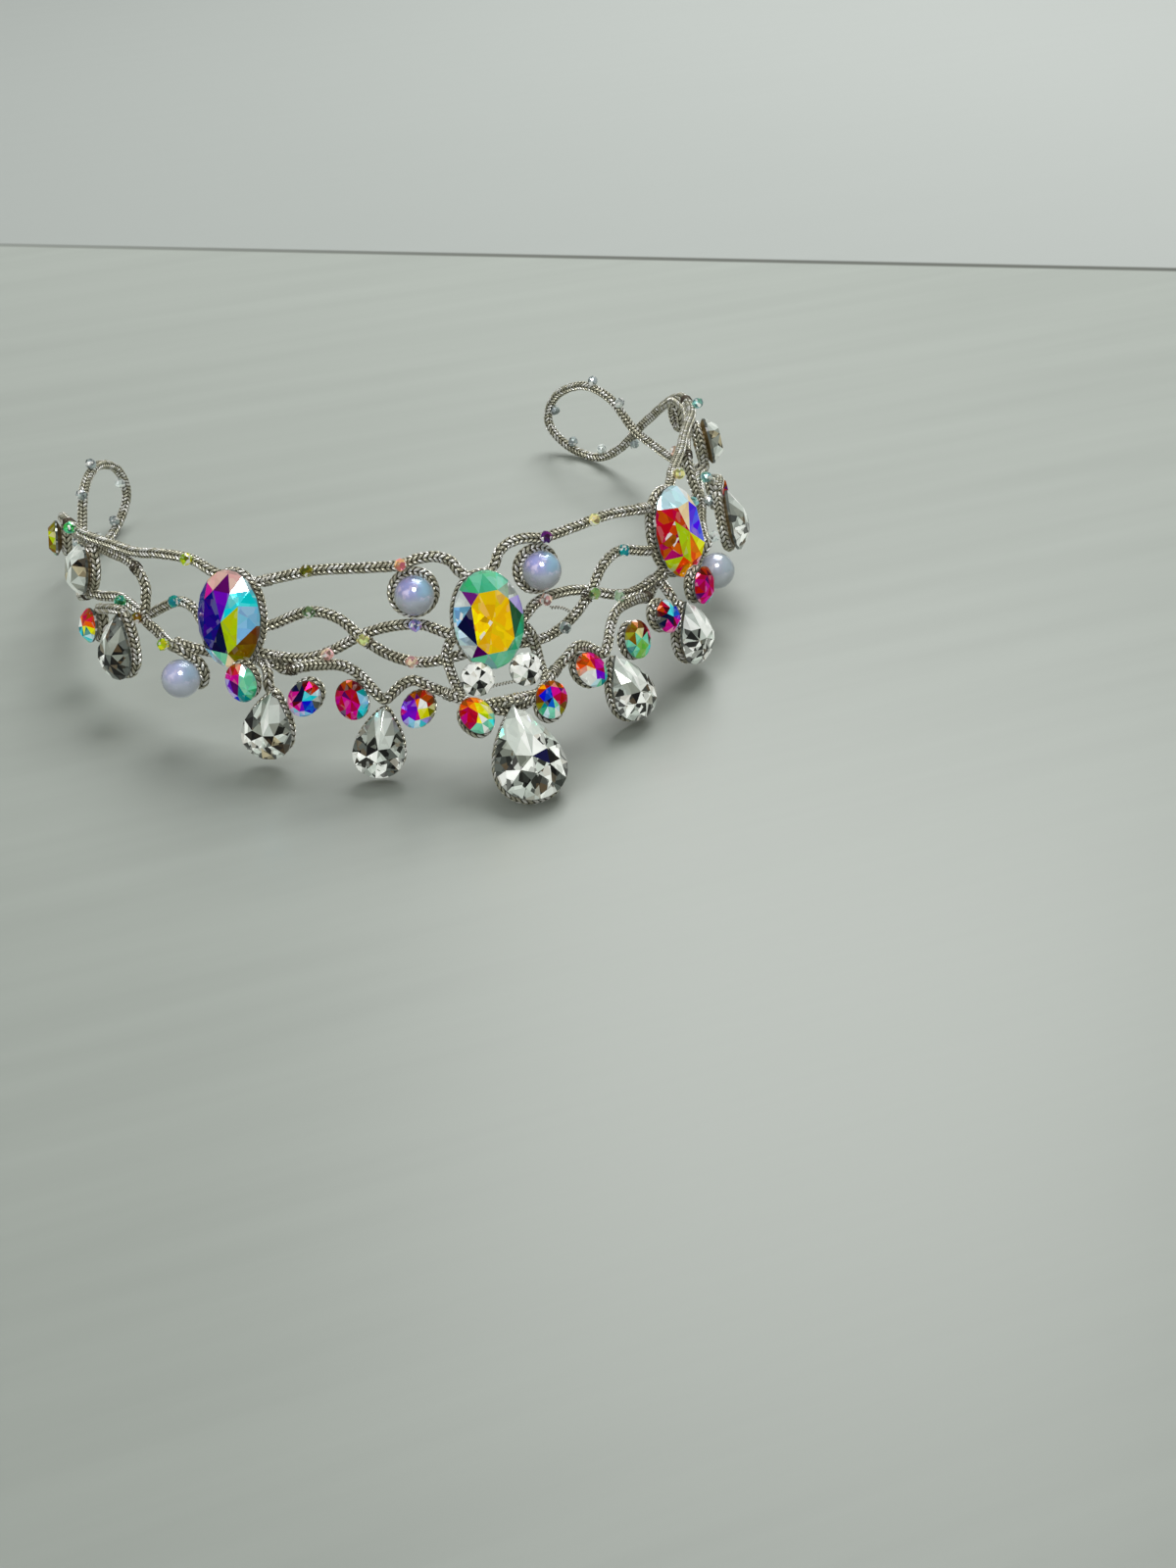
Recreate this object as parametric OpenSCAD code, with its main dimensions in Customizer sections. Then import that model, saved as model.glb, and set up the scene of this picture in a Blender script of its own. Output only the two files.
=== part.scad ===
// Ballet tiara of braided wire, faceted stones, pearls and small accent beads.
// Front faces -Y, +Z is up, the origin is on the table under the middle of the whole part.
// Side pieces are drawn on the +X side and mirrored. Lengths are in millimetres, angles in degrees.

/* [Band] */
// Radius of the lattice at table height
band_r = 93; // [92:0.5:95]
// Inward slope of the lattice: radius lost for each millimetre of height
band_slope = 0.25; // [0.24:0.01:0.26]
// How far the band's centre stands behind the origin
band_back = 33; // [20:0.5:40]
// How far the right back end stands above the drawn height, and the left one below it
end_lift = 2; // [0:0.25:2.5]
// How far the left end loop stands out past the drawn one, and the right one in from it
end_spread = 1.5; // [0:0.25:1.5]

/* [Wire] */
// Diameter of the braided wire
wire_d = 2.4; // [2:0.1:2.4]

/* [Stones] */
// Width of the three large ovals and of the centre pear
large_w = 18; // [17:0.5:18]
// Length of the three large ovals and of the centre pear
large_l = 25; // [24:0.5:25]
// Width of the side pears
pear_w = 13; // [12:0.5:13]
// Length of the side pears
pear_l = 18; // [17:0.5:18]
// Width of the small ovals
small_w = 8; // [7:0.5:8]
// Length of the small ovals
small_l = 10; // [9:0.5:10]
// Diameter of the two round stones under the centre oval
chaton_d = 8.5; // [8:0.25:8.5]
// Width of the oval stone before each back end
back_oval_w = 10; // [9:0.5:10]
// Length of the oval stone before each back end
back_oval_l = 14; // [13:0.5:14]
// Diameter of the pearls
pearl_d = 10; // [9:0.5:10]
// Diameter of the accent beads
accent_d = 3.4; // [3:0.1:3.6]

/* [Hidden] */

wire_r = wire_d / 2;
wire_colour = [0.72, 0.69, 0.62];
clear_colour = [0.86, 0.88, 0.88];
shimmer_colour = [0.62, 0.45, 0.75];
pearl_colour = [0.80, 0.82, 0.92];

// Seats: angle from the front, radius, height, lean of the face, turn of the face, roll in its plane.
// The pairs that hang by hand-bent wire have a seat for each side.
seat_centre_oval = [0, 91, 33, 20, 0, 0];
seat_centre = [0, 118, 10.8, 50, 0, 0];
seats_oval = [[41.7, 90.4, 33.7, 17, 1, 0], [41.7, 90.4, 33.7, 17, -10, 0]];
seats_a = [[17.8, 105, 10.2, 30, 0, 10], [19, 105, 10.2, 30, 0, 8]];
seats_b = [[33.8, 102, 11.8, 15, -4, 10], [35, 102, 12.4, 15, -4, 6]];
seats_c = [[62.8, 97.5, 20.4, 15, 0, 0], [62.2, 97.5, 20.4, 15, 0, 0]];
seat_c_small = [74.2, 94.6, 17.8, 12, 0, 15];
seat_d_small = [95, 94, 27.4, 8, 0, 0];
seat_chaton = [3.6, 100.2, 22.4, 30, 0, 0];
seat_back_oval = [78.6, 92, 30.6, 12, 0, 0];
seat_pearl_a = [11.2, 85.5, 39.7, 15, 0, 0];
seat_pearl_b = [49.8, 96.5, 16.3, 15, 0, 0];

// Stones: height of the crown above the girdle, girdle, depth below it, table as a share of the outline
large_cut = [3.6, 0.8, 5.5, 0.50];
pear_cut = [3.0, 0.8, 4.2, 0.50];
small_cut = [1.8, 0.6, 2.6, 0.55];

// Where the small ovals sit beside a pear's tip, in the pear's own plane: side, height, roll
beside_large = [9.6, 11.4, 24];
beside_pear = [8.2, 9.3, 24];

// Depth of a ring's centre line behind the girdle, and how far it stands out past the outline
ring_back = 2.3;
ring_out = -0.2;
// The same for the round rings behind the pearls
pearl_back = 3.2;
pearl_out = 0.6;
// Sides of a swept wire and its longest straight stretch
wire_sides = 6;
step_len = 5.5;

// Routes on the lattice: angle from the front, height, distance out from the lattice
oval_side_route = [[7.6, 25.4, 4.4], [7.3, 21.6, 7.6], [6.8, 19.6, 10.8], [6.4, 18.9, 15.2]];
top_route = [[3.2, 43.6, 1.1], [4.4, 46, 0.5], [6.8, 47.4, 0], [10, 47.4, 0], [13.6, 46.2, 0], [20, 46, 0],
    [28, 45.2, 0], [36.6, 42.6, 2]];
rise_route = [[5, 23.6, 2.8], [10.5, 21.8, 0.5], [15.5, 24, 0.6], [20, 29, 1.4], [24.4, 34, 0.6],
    [29.6, 34.8, 0], [35.3, 31.6, 1.6]];
dip_route = [[6.3, 29.2, 2.2], [10, 31, 0.2], [14.5, 31, -0.8], [20, 29, -1.4], [26, 24.8, -0.6],
    [31, 22.8, 0], [36.8, 24.1, 2]];
hanger_route = [[32.8, 20.6, 1.6], [28, 23.2, 3.3], [23, 24.4, 5.4], [19.5, 22.8, 7.8], [17.4, 20, 8],
    [14.8, 21.8, 9], [12.4, 22.9, 10.6], [10.4, 21.4, 11.2], [8.5, 19.6, 11]];
tip_route = [[52.4, 21, 1.4], [47, 20.9, 0.6], [42, 21, -0.2], [38.6, 21.2, 0.2], [36.4, 21.8, 3],
    [35, 21.4, 6.4], [34.6, 19.6, 8.4]];
side_route = [[82, 34.8, 2.6], [76, 35.6, 0.8], [70, 36.6, 0], [66, 35.6, 0], [63.4, 32.2, 0.2], [62.6, 28.5, 0.9],
    [62, 24.6, 1.5], [58.6, 22.4, 1.6], [54.5, 21.2, 3.4], [51.6, 22.4, 5.4]];
arch_route = [[47.6, 28.4, 2.2], [51, 30.8, 0.6], [54.6, 31, 0], [58.8, 28.2, -0.6], [62.4, 25, -1.5],
    [65.4, 22.6, -0.6], [66.2, 20.4, 1.2]];
c_route = [[62.8, 28.6, 6.9], [66, 28, 7.2], [70, 25.4, 6.2], [73.8, 22.2, 3.8]];
loop_route = [[46.6, 42.4, 2], [52, 43, 0.4], [60, 42, 0], [67, 40.2, 0], [74, 38.8, 1.2], [81, 37.6, 4],
    [87, 36.6, 5.6], [93, 34.6, 6.6], [99, 29.6, 6], [104, 23.4, 4.6], [107.6, 18, 3], [112.6, 8.6, 0],
    [118.6, 2.3, -2.4], [125.6, 2.3, -2.4], [130.6, 6.8, -1], [131.4, 13, 0.6], [128.6, 20.4, 2.2],
    [122, 25.6, 3], [114.6, 24.6, 2.2], [107.6, 18, 0.2], [101, 15.2, -0.6], [94, 14, -0.2],
    [87, 15.8, 1.6], [82, 19.8, 3], [78, 23.4, 3.6], [74.4, 24.8, 2.6], [70, 26.6, 1], [66, 26.4, 1]];

// Accent beads: angle, height, distance out from the lattice, for both sides and then for each side
accent_seats = [[13, 46.2, 3.1], [20, 29, 4.6], [28.8, 34.8, 3.2], [54.4, 30.9, 3.1], [62.6, 24.2, 4.5],
    [54.4, 21.2, 6.5], [67.6, 26.6, 4],
    [119.4, 28.8, 3], [111, 25, 1.6], [129.4, 12.6, 0.4], [125.2, 5.4, -1.6], [118.4, 6.1, -1.4],
    [109.6, 9.4, 0.8], [94.2, 17.2, 0], [84.2, 37.2, 7.9]];
accent_left = [[28.8, 45.2, 3.1], [51.8, 43, 3.5], [25.8, 26.9, 2.1], [11.6, 31, 3.2], [12.6, 22.2, 3.6]];
accent_right = [[23.6, 45.8, 3.1], [49.6, 42.9, 4], [25, 27.3, 2.1], [11.2, 31, 3.2], [13.6, 22.8, 3.6]];

function unit(v) = v / norm(v);

// Share of end_lift at an angle from the front: none before the sides and none at the loops
function lift(a) = end_lift * max(0, min(1, (a - 55) / 12, (106 - a) / 10));
function lifted(s, side) = let (up = side * lift(s[0]))
    [s[0], s[1] - band_slope * up, s[2] + up, s[3], s[4], s[5]];

// How far a side's end loop stands out past the drawn one, at an angle from the front
function spread(a, side) = -side * end_spread * max(0, min(1, (a - 99) / 12));

// Point of the lattice chart in the part's frame
function band(p) = let (r = band_r - band_slope * p[1] + p[2])
    [r * sin(p[0]), band_back - r * cos(p[0]), p[1]];

// Point in a stone's own frame (x right, y up, z out of the face), with the roll, in the part's frame
function seat_point(s, p) =
    let (x = p[0] * cos(s[5]) - p[1] * sin(s[5]),
         y = p[0] * sin(s[5]) + p[1] * cos(s[5]),
         az = s[0] + s[4],
         out = -y * sin(s[3]) + p[2] * cos(s[3]),
         up = y * cos(s[3]) + p[2] * sin(s[3]))
    [s[1] * sin(s[0]) + x * cos(az) + out * sin(az),
        band_back - s[1] * cos(s[0]) + x * sin(az) - out * cos(az), s[2] + up];

module seat(s) {
    translate([s[1] * sin(s[0]), band_back - s[1] * cos(s[0]), s[2]])
        rotate([0, 0, s[0] + s[4]]) rotate([90 - s[3], 0, 0]) rotate([0, 0, s[5]]) children();
}

// Outlines, counter-clockwise from the top
function oval(w, l, n) = [for (i = [0:n - 1]) let (t = 90 + 360 * i / n) [w / 2 * cos(t), l / 2 * sin(t)]];
function drop(w, l, n) = [for (i = [0:n - 1]) let (t = 360 * i / n)
    [-w / 2 * sin(t) * sin(t / 2) / 0.77, l / 2 * cos(t)]];

// Smooth curve through the points, cut into stretches no longer than step_len
function spline(p) = concat([for (i = [0:len(p) - 2])
    let (a = p[max(i - 1, 0)], b = p[i], c = p[i + 1], d = p[min(i + 2, len(p) - 1)],
         n = max(1, ceil(norm(c - b) / step_len)))
    for (k = [0:n - 1]) let (t = k / n)
        0.5 * (2 * b + (c - a) * t + (2 * a - 5 * b + 4 * c - d) * t * t + (3 * b - a - 3 * c + d) * t * t * t)],
    [p[len(p) - 1]]);

// Tangent at each point of an open or closed path
function tangents(p, closed) = let (n = len(p)) [for (i = [0:n - 1])
    closed ? unit(p[(i + 1) % n] - p[(i + n - 1) % n]) : unit(p[min(i + 1, n - 1)] - p[max(i - 1, 0)])];

// Side vectors carried along the path without twist
function sides_along(t, u0) = [for (i = 0, u = unit(u0 - (u0 * t[0]) * t[0]); i < len(t);
    i = i + 1, u = i < len(t) ? unit(u - (u * t[i]) * t[i]) : u) u];

// Round wire swept along a path, open or closed into a ring
module wire(path, closed = false) {
    n = len(path);
    k_last = wire_sides - 1;
    t = tangents(path, closed);
    u = sides_along(t, [0, 0, 1]);
    points = [for (i = [0:n - 1]) for (k = [0:k_last]) let (a = 360 * k / wire_sides)
        path[i] + wire_r * (cos(a) * u[i] + sin(a) * cross(t[i], u[i]))];
    walls = [for (i = [0:closed ? n - 1 : n - 2]) for (k = [0:k_last])
        let (here = i * wire_sides, next = (i + 1) % n * wire_sides, m = (k + 1) % wire_sides)
        each [[here + k, next + k, next + m], [here + k, next + m, here + m]]];
    caps = closed ? [] : [[for (k = [0:k_last]) k], [for (k = [k_last:-1:0]) (n - 1) * wire_sides + k]];
    polyhedron(points, concat(walls, caps));
}

// A route's points in the part's frame, for the side at -X or +X
function route_points(route, side) = [for (p = route)
    band([p[0], p[1] + side * lift(p[0]), p[2] + spread(p[0], side)])];

module route_wire(route, side) { wire(spline(route_points(route, side))); }
module band_wire(route, side) { color(wire_colour) both(side) route_wire(route, side); }

// Closed ring of wire behind an outline in the local plane
module outline_ring(outline) { wire([for (p = outline) [p[0], p[1], -ring_back]], true); }

// Faceted stone with a flat table, a girdle and a pointed back
module gem(outline, cut) {
    n = len(outline);
    half = cut[1] / 2;
    layers = [[cut[3], half + cut[0]], [1, half], [1, -half]];
    points = concat([for (s = layers) for (p = outline) [p[0] * s[0], p[1] * s[0], s[1]]], [[0, 0, -half - cut[2]]]);
    faces = concat([[for (i = [n - 1:-1:0]) i]],
        [for (s = [0:1]) for (i = [0:n - 1]) let (j = (i + 1) % n) [s * n + i, s * n + j, (s + 1) * n + j, (s + 1) * n + i]],
        [for (i = [0:n - 1]) let (j = (i + 1) % n) [2 * n + i, 2 * n + j, 3 * n]]);
    polyhedron(points, faces);
}

module large_oval() { gem(oval(large_w, large_l, 16), large_cut); }
module large_drop() { gem(drop(large_w, large_l, 16), large_cut); }
module side_drop() { gem(drop(pear_w, pear_l, 16), pear_cut); }
module small_oval() { gem(oval(small_w, small_l, 12), small_cut); }

module large_oval_ring() { outline_ring(oval(large_w + 2 * ring_out, large_l + 2 * ring_out, 18)); }
module small_oval_ring() { outline_ring(oval(small_w + 2 * ring_out, small_l + 2 * ring_out, 12)); }

// A small oval's place beside the tip of the pear that it is bound to, on the +X or -X side
module beside(place, side) {
    translate([side * place[0], place[1], 0]) rotate([0, 0, -side * place[2]]) children();
}

// Rings of a pear and its small ovals, bound and glued into one
module group_setting(w, l, place, sides) {
    outline_ring(drop(w + 2 * ring_out, l + 2 * ring_out, 16));
    for (side = sides) beside(place, side) small_oval_ring();
}

module both(side) { if (side < 0) mirror([1, 0, 0]) children(); else children(); }

module centre_oval() { color(shimmer_colour) seat(seat_centre_oval) large_oval(); }
module centre_pear() { color(clear_colour) seat(seat_centre) large_drop(); }

// Ring round the centre oval with the two wires that run down past the round stones
module centre_ring() {
    color(wire_colour) {
        seat(seat_centre_oval) large_oval_ring();
        for (side = [-1, 1]) both(side)
            wire(spline(concat([seat_point(seat_centre_oval, [large_w / 2, -3, -ring_back])],
                route_points(oval_side_route, side))));
    }
}

module centre_setting() {
    color(wire_colour) seat(seat_centre) group_setting(large_w, large_l, beside_large, [-1, 1]);
}

// Each side's own seat of a pair
function own(seats, side) = lifted(seats[side < 0 ? 0 : 1], side);

module side_oval(side) { color(shimmer_colour) both(side) seat(own(seats_oval, side)) large_oval(); }
module oval_ring(side) { color(wire_colour) both(side) seat(own(seats_oval, side)) large_oval_ring(); }
module pear(side, seats) { color(clear_colour) both(side) seat(own(seats, side)) side_drop(); }
module chaton(side) {
    color(clear_colour) both(side) seat(seat_chaton) gem(oval(chaton_d, chaton_d, 12), small_cut);
}
module beside_stone(side, seats, place_side) {
    color(shimmer_colour) both(side) seat(own(seats, side)) beside(beside_pear, place_side) small_oval();
}
module centre_small_oval(side) {
    color(shimmer_colour) both(side) seat(seat_centre) beside(beside_large, 1) small_oval();
}
module end_small_oval(side, s) { color(shimmer_colour) both(side) seat(lifted(s, side)) small_oval(); }
module back_oval(side) {
    color(clear_colour) both(side) seat(lifted(seat_back_oval, side)) gem(oval(back_oval_w, back_oval_l, 12), pear_cut);
}
module pearl(side, s) { color(pearl_colour) both(side) seat(s) sphere(d = pearl_d, $fn = 48); }
module pearl_ring(side) {
    color(wire_colour) both(side) seat(seat_pearl_a) translate([0, 0, -pearl_back])
        rotate_extrude($fn = 48) translate([pearl_d / 2 + pearl_out, 0]) circle(wire_r, $fn = 16);
}
module setting_a(side) {
    color(wire_colour) both(side) seat(own(seats_a, side)) group_setting(pear_w, pear_l, beside_pear, [-1, 1]);
}
module setting_b(side) {
    color(wire_colour) both(side) {
        seat(own(seats_b, side)) group_setting(pear_w, pear_l, beside_pear, [-1, 1]);
        route_wire(tip_route, side);
    }
}
module setting_c(side) {
    color(wire_colour) both(side) {
        seat(own(seats_c, side)) group_setting(pear_w, pear_l, beside_pear, []);
        seat(lifted(seat_c_small, side)) small_oval_ring();
        route_wire(c_route, side);
    }
}

// Wire from the top bundle down past the third pear, with the hook behind the pearl that hangs from it
module side_wire(side) {
    hook_r = pearl_d / 2 + pearl_out;
    hook = [for (a = [90:24:258]) seat_point(seat_pearl_b, [hook_r * cos(a), hook_r * sin(a), -pearl_back])];
    color(wire_colour) both(side) wire(concat(spline(route_points(side_route, side)), hook));
}
module accent_beads() {
    color(clear_colour) for (side = [-1, 1]) both(side)
        for (p = route_points(concat(accent_seats, side < 0 ? accent_left : accent_right), side))
            translate(p) sphere(d = accent_d, $fn = 24);
}

centre_oval();
centre_pear();
centre_ring();
centre_setting();
accent_beads();
side_oval(-1);  // side_oval_left
side_oval(1);  // side_oval_right
oval_ring(-1);  // oval_ring_left
oval_ring(1);  // oval_ring_right
pear(-1, seats_a);  // pear_a_left
pear(1, seats_a);  // pear_a_right
pear(-1, seats_b);  // pear_b_left
pear(1, seats_b);  // pear_b_right
pear(-1, seats_c);  // pear_c_left
pear(1, seats_c);  // pear_c_right
chaton(-1);  // chaton_left
chaton(1);  // chaton_right
centre_small_oval(-1);  // small_oval_centre_left
centre_small_oval(1);  // small_oval_centre_right
beside_stone(-1, seats_a, -1);  // small_oval_a_inner_left
beside_stone(1, seats_a, -1);  // small_oval_a_inner_right
beside_stone(-1, seats_a, 1);  // small_oval_a_outer_left
beside_stone(1, seats_a, 1);  // small_oval_a_outer_right
beside_stone(-1, seats_b, -1);  // small_oval_b_inner_left
beside_stone(1, seats_b, -1);  // small_oval_b_inner_right
beside_stone(-1, seats_b, 1);  // small_oval_b_outer_left
beside_stone(1, seats_b, 1);  // small_oval_b_outer_right
end_small_oval(-1, seat_c_small);  // small_oval_c_left
end_small_oval(1, seat_c_small);  // small_oval_c_right
back_oval(-1);  // back_oval_left
back_oval(1);  // back_oval_right
end_small_oval(-1, seat_d_small);  // small_oval_d_left
end_small_oval(1, seat_d_small);  // small_oval_d_right
pearl(-1, seat_pearl_a);  // pearl_a_left
pearl(1, seat_pearl_a);  // pearl_a_right
pearl(-1, seat_pearl_b);  // pearl_b_left
pearl(1, seat_pearl_b);  // pearl_b_right
pearl_ring(-1);  // pearl_ring_left
pearl_ring(1);  // pearl_ring_right
setting_a(-1);  // setting_a_left
setting_a(1);  // setting_a_right
setting_b(-1);  // setting_b_left
setting_b(1);  // setting_b_right
setting_c(-1);  // setting_c_left
setting_c(1);  // setting_c_right
band_wire(top_route, -1);  // top_wire_left
band_wire(top_route, 1);  // top_wire_right
band_wire(rise_route, -1);  // wave_rise_left
band_wire(rise_route, 1);  // wave_rise_right
band_wire(dip_route, -1);  // wave_dip_left
band_wire(dip_route, 1);  // wave_dip_right
band_wire(hanger_route, -1);  // hanger_left
band_wire(hanger_route, 1);  // hanger_right
side_wire(-1);  // side_wire_left
side_wire(1);  // side_wire_right
band_wire(arch_route, -1);  // arch_wire_left
band_wire(arch_route, 1);  // arch_wire_right
band_wire(loop_route, -1);  // end_loop_left
band_wire(loop_route, 1);  // end_loop_right
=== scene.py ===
"""Ballet tiara of braided wire, cut stones, pearls and small glass beads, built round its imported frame.

The front faces -Y and +Z is up. Tables are in millimetres and degrees, and meshes are in metres.
"""

import bpy
import numpy as np
from bpy.props import FloatProperty, FloatVectorProperty, IntProperty, PointerProperty
from mathutils import Matrix, Vector


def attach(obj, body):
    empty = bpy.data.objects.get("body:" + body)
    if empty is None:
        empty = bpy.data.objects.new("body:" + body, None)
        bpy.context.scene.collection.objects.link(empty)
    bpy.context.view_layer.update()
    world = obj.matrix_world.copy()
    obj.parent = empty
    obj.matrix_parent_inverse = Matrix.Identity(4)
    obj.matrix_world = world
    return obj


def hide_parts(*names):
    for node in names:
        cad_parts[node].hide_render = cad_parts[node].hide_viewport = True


bl_info = {
    "name": "Ballet tiara",
    "version": (1, 0, 0),
    "blender": (4, 5, 0),
    "location": "View3D > Sidebar > Tiara",
    "description": "Builds a ballet tiara of braided wire, cut stones, pearls and beads",
    "category": "Object",
}

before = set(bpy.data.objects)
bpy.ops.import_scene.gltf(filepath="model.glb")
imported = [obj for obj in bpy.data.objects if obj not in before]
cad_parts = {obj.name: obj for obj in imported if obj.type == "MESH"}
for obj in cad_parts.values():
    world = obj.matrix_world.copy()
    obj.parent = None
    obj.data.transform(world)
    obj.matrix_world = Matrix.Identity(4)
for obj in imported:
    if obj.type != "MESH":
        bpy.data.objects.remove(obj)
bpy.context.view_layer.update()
MM = 0.001

# Band: radius at the table, inward slope, distance of its centre behind the origin
BAND_R = 93
BAND_SLOPE = 0.25
BAND_BACK = 33
# The right end stands higher than drawn and the left one lower: the most, the angle where that starts, the
# angle over which it grows, the angle where it has gone again, and the angle over which it falls
END_LIFT = 2
LIFT_START = 55
LIFT_RISE = 12
LIFT_END = 106
LIFT_FALL = 10
# The left loop stands further out and the right one further in, from this angle and fully after the next
END_SPREAD = 1.5
SPREAD_START = 99
SPREAD_RISE = 12

# Seats: angle from the front, radius, height, lean of the face, turn of the face, roll in its plane
CENTRE_OVAL = [0, 91, 33, 20, 0, 0]
CENTRE_PEAR = [0, 118, 10.8, 50, 0, 0]
SIDE_OVAL = {"left": [41.7, 90.4, 33.7, 17, 1, 0], "right": [41.7, 90.4, 33.7, 17, -10, 0]}
PEARS = {
    "a": {"left": [17.8, 105, 10.2, 30, 0, 10], "right": [19, 105, 10.2, 30, 0, 8]},
    "b": {"left": [33.8, 102, 11.8, 15, -4, 10], "right": [35, 102, 12.4, 15, -4, 6]},
    "c": {"left": [62.8, 97.5, 20.4, 15, 0, 0], "right": [62.2, 97.5, 20.4, 15, 0, 0]},
}
SMALL_C = [74.2, 94.6, 17.8, 12, 0, 15]
SMALL_D = [95, 94, 27.4, 8, 0, 0]
CHATON = [3.6, 100.2, 22.4, 30, 0, 0]
BACK_OVAL = [78.6, 92, 30.6, 12, 0, 0]
PEARL_A = [11.2, 85.5, 39.7, 15, 0, 0]
PEARL_B = [49.8, 96.5, 16.3, 15, 0, 0]

# Width and length of the stones
LARGE = (18, 25)
PEAR = (13, 18)
SMALL = (8, 10)
ROUND = (8.5, 8.5)
BACK = (10, 14)
# Cuts: crown above the girdle, girdle, depth below it, the table's share of the stone across and along,
# and how far a star's tip reaches from the table to the girdle
LARGE_CUT = (3.6, 0.8, 5.5, (0.57, 0.64), 0.86)
DROP_CUT = (3.6, 0.8, 5.5, (0.48, 0.44), 0.60)
PEAR_CUT = (3.0, 0.8, 4.2, (0.48, 0.44), 0.60)
BACK_CUT = (3.0, 0.8, 4.2, (0.50, 0.56), 0.60)
SMALL_CUT = (1.8, 0.6, 2.6, (0.50, 0.56), 0.70)
# Small ovals beside a pear's tip: side, height, roll
BESIDE_LARGE = (9.6, 11.4, 24)
BESIDE_PEAR = (8.2, 9.3, 24)
# Angle between the main facets of a stone, and share of its outline at which the back's facets meet
EIGHTH = 45
BACK_SHARE = 0.28
# Middle of a pear's facets as a share of its length, and the widest reach of a drop before it is scaled
DROP_MIDDLE = -0.10
DROP_WIDEST = 0.77
# Powers that draw an oval's table out towards a rectangle, across and along, and that lower a star's tip
TABLE_POWERS = (0.8, 0.5)
STAR_POWER = 1.4
# Share of the painted dark edge, a painted shade on the facets at the rim and on the girdle, how broken that
# shade is, and how broken a plain facet
PAINTED_RIM_SHADE_SHARE = 0.28
PAINTED_RIM_SHADE_BROKEN = 0.6
PLAIN_BROKEN = 0.12
# How far the patterns of two stones, and of two facets, lie apart, and the number that the facets at the
# rim are counted from
STONE_JUMP = 31.7
FACET_JUMP = 7.3
RIM_FIRST = 40

# Ring behind a stone: how far behind its plane, and how far outside its outline
RING_BACK = 2.8
RING_OUT = -1.2
# Ring behind pearl A: the same, and the radius of a pearl
PEARL_BACK = 3.2
PEARL_OUT = 0.2
PEARL_R = 5
# Hook on the back of pearl B: distance of its middle from the pearl's, angles of its points, its reach
# across the pearl at the first of them, and how much that shrinks with each degree
HOOK_REST = 6.1
HOOK_ANGLES = range(90, 259, 24)
HOOK_REACH = 4.9
HOOK_SHRINK = 0.013
# Distance between the points of a wire's path
PATH_STEP = 0.25
# Braid: points across a column, power of a stitch's parabola, how much of a leg is arched across, and how
# far the stitches stand out over the wire's radius
COLUMN_POINTS = 10
STITCH_POWER = 0.6
LEG_ARCH = 0.6
STITCH_PROUD = 0.04
# Wire ends: length of the rounding as a share of the radius, and how far in it goes at most
END_ROUNDING = 0.9
END_INSET = 0.995
# Windings: points on a turn and round the fine wire, then pitch and height over the braid in its diameters
TURN_POINTS = 14
FINE_POINTS = 6
WINDING_PITCH = 2.2
WINDING_PROUD = 0.2
# Link between the round stones: its ends in their planes. It and the thread loop are twisted: turns for
# each point of the path, and radius of the twist
LINK_END = (0, -2.4, -0.3)
LINK_TURNS = 0.25
LINK_REACH = 0.3
# Points round a pearl, and rings from pole to pole
BALL_AROUND = 48
BALL_ROWS = 24

# Routes on the lattice: angle from the front, height, distance out from it.
# Each end is carried on behind the ring that it is bound to, so that no cut end shows.
# From the centre oval's ring down past a round stone
OVAL_SIDE_ROUTE = [[7.1, 25.4, 4.4], [6.8, 21.6, 7.6], [6.4, 19.6, 10.8], [6.1, 18.9, 15.2]]
# Strand from the small oval D along the upper wire
BUNDLE_ROUTE = [[101.6, 26.6, 5.4], [98.8, 29.2, 5.6], [95.4, 32.2, 5.6], [91, 34.2, 5], [85, 35.6, 4.2],
                [79, 36.2, 2.2]]
# Strand across the centre pear's tip, in the pear's own plane
TIP_STRAND = [[-7.4, 14.4, -3.4], [-4.2, 14, -1.4], [0, 13.3, 0.3], [4.2, 14, -1.4], [7.4, 14.4, -3.4]]
# To pear B's tip, then to the hook, then from pear C to the small oval C
TIP_ROUTE = [[54.6, 21.8, 1.6], [52.4, 21, 1.4], [47, 20.9, 0.6], [42, 21, -0.2], [38.6, 21.2, 0.2],
             [36.4, 21.8, 3], [35, 21.4, 6.2], [34.6, 19.6, 7.6], [34.4, 17.2, 6.4], [34.2, 15, 5.4]]
SIDE_ROUTE = [[89, 35.6, 5.4], [85.5, 34.8, 3.8], [82, 35, 2.6], [76, 35.6, 0.8], [70, 36.6, 0],
              [66, 35.6, 0], [63.4, 32.2, 0.2], [62.6, 28.5, 0.9], [62, 24.6, 1.5], [58.6, 22.4, 1.6],
              [54.5, 21.2, 3.4], [51.6, 22.4, 5.4]]
C_ROUTE = [[62.8, 28.6, 6.9], [66, 28, 7.2], [70, 25.4, 6.2], [73.8, 22.2, 3.8]]
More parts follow.
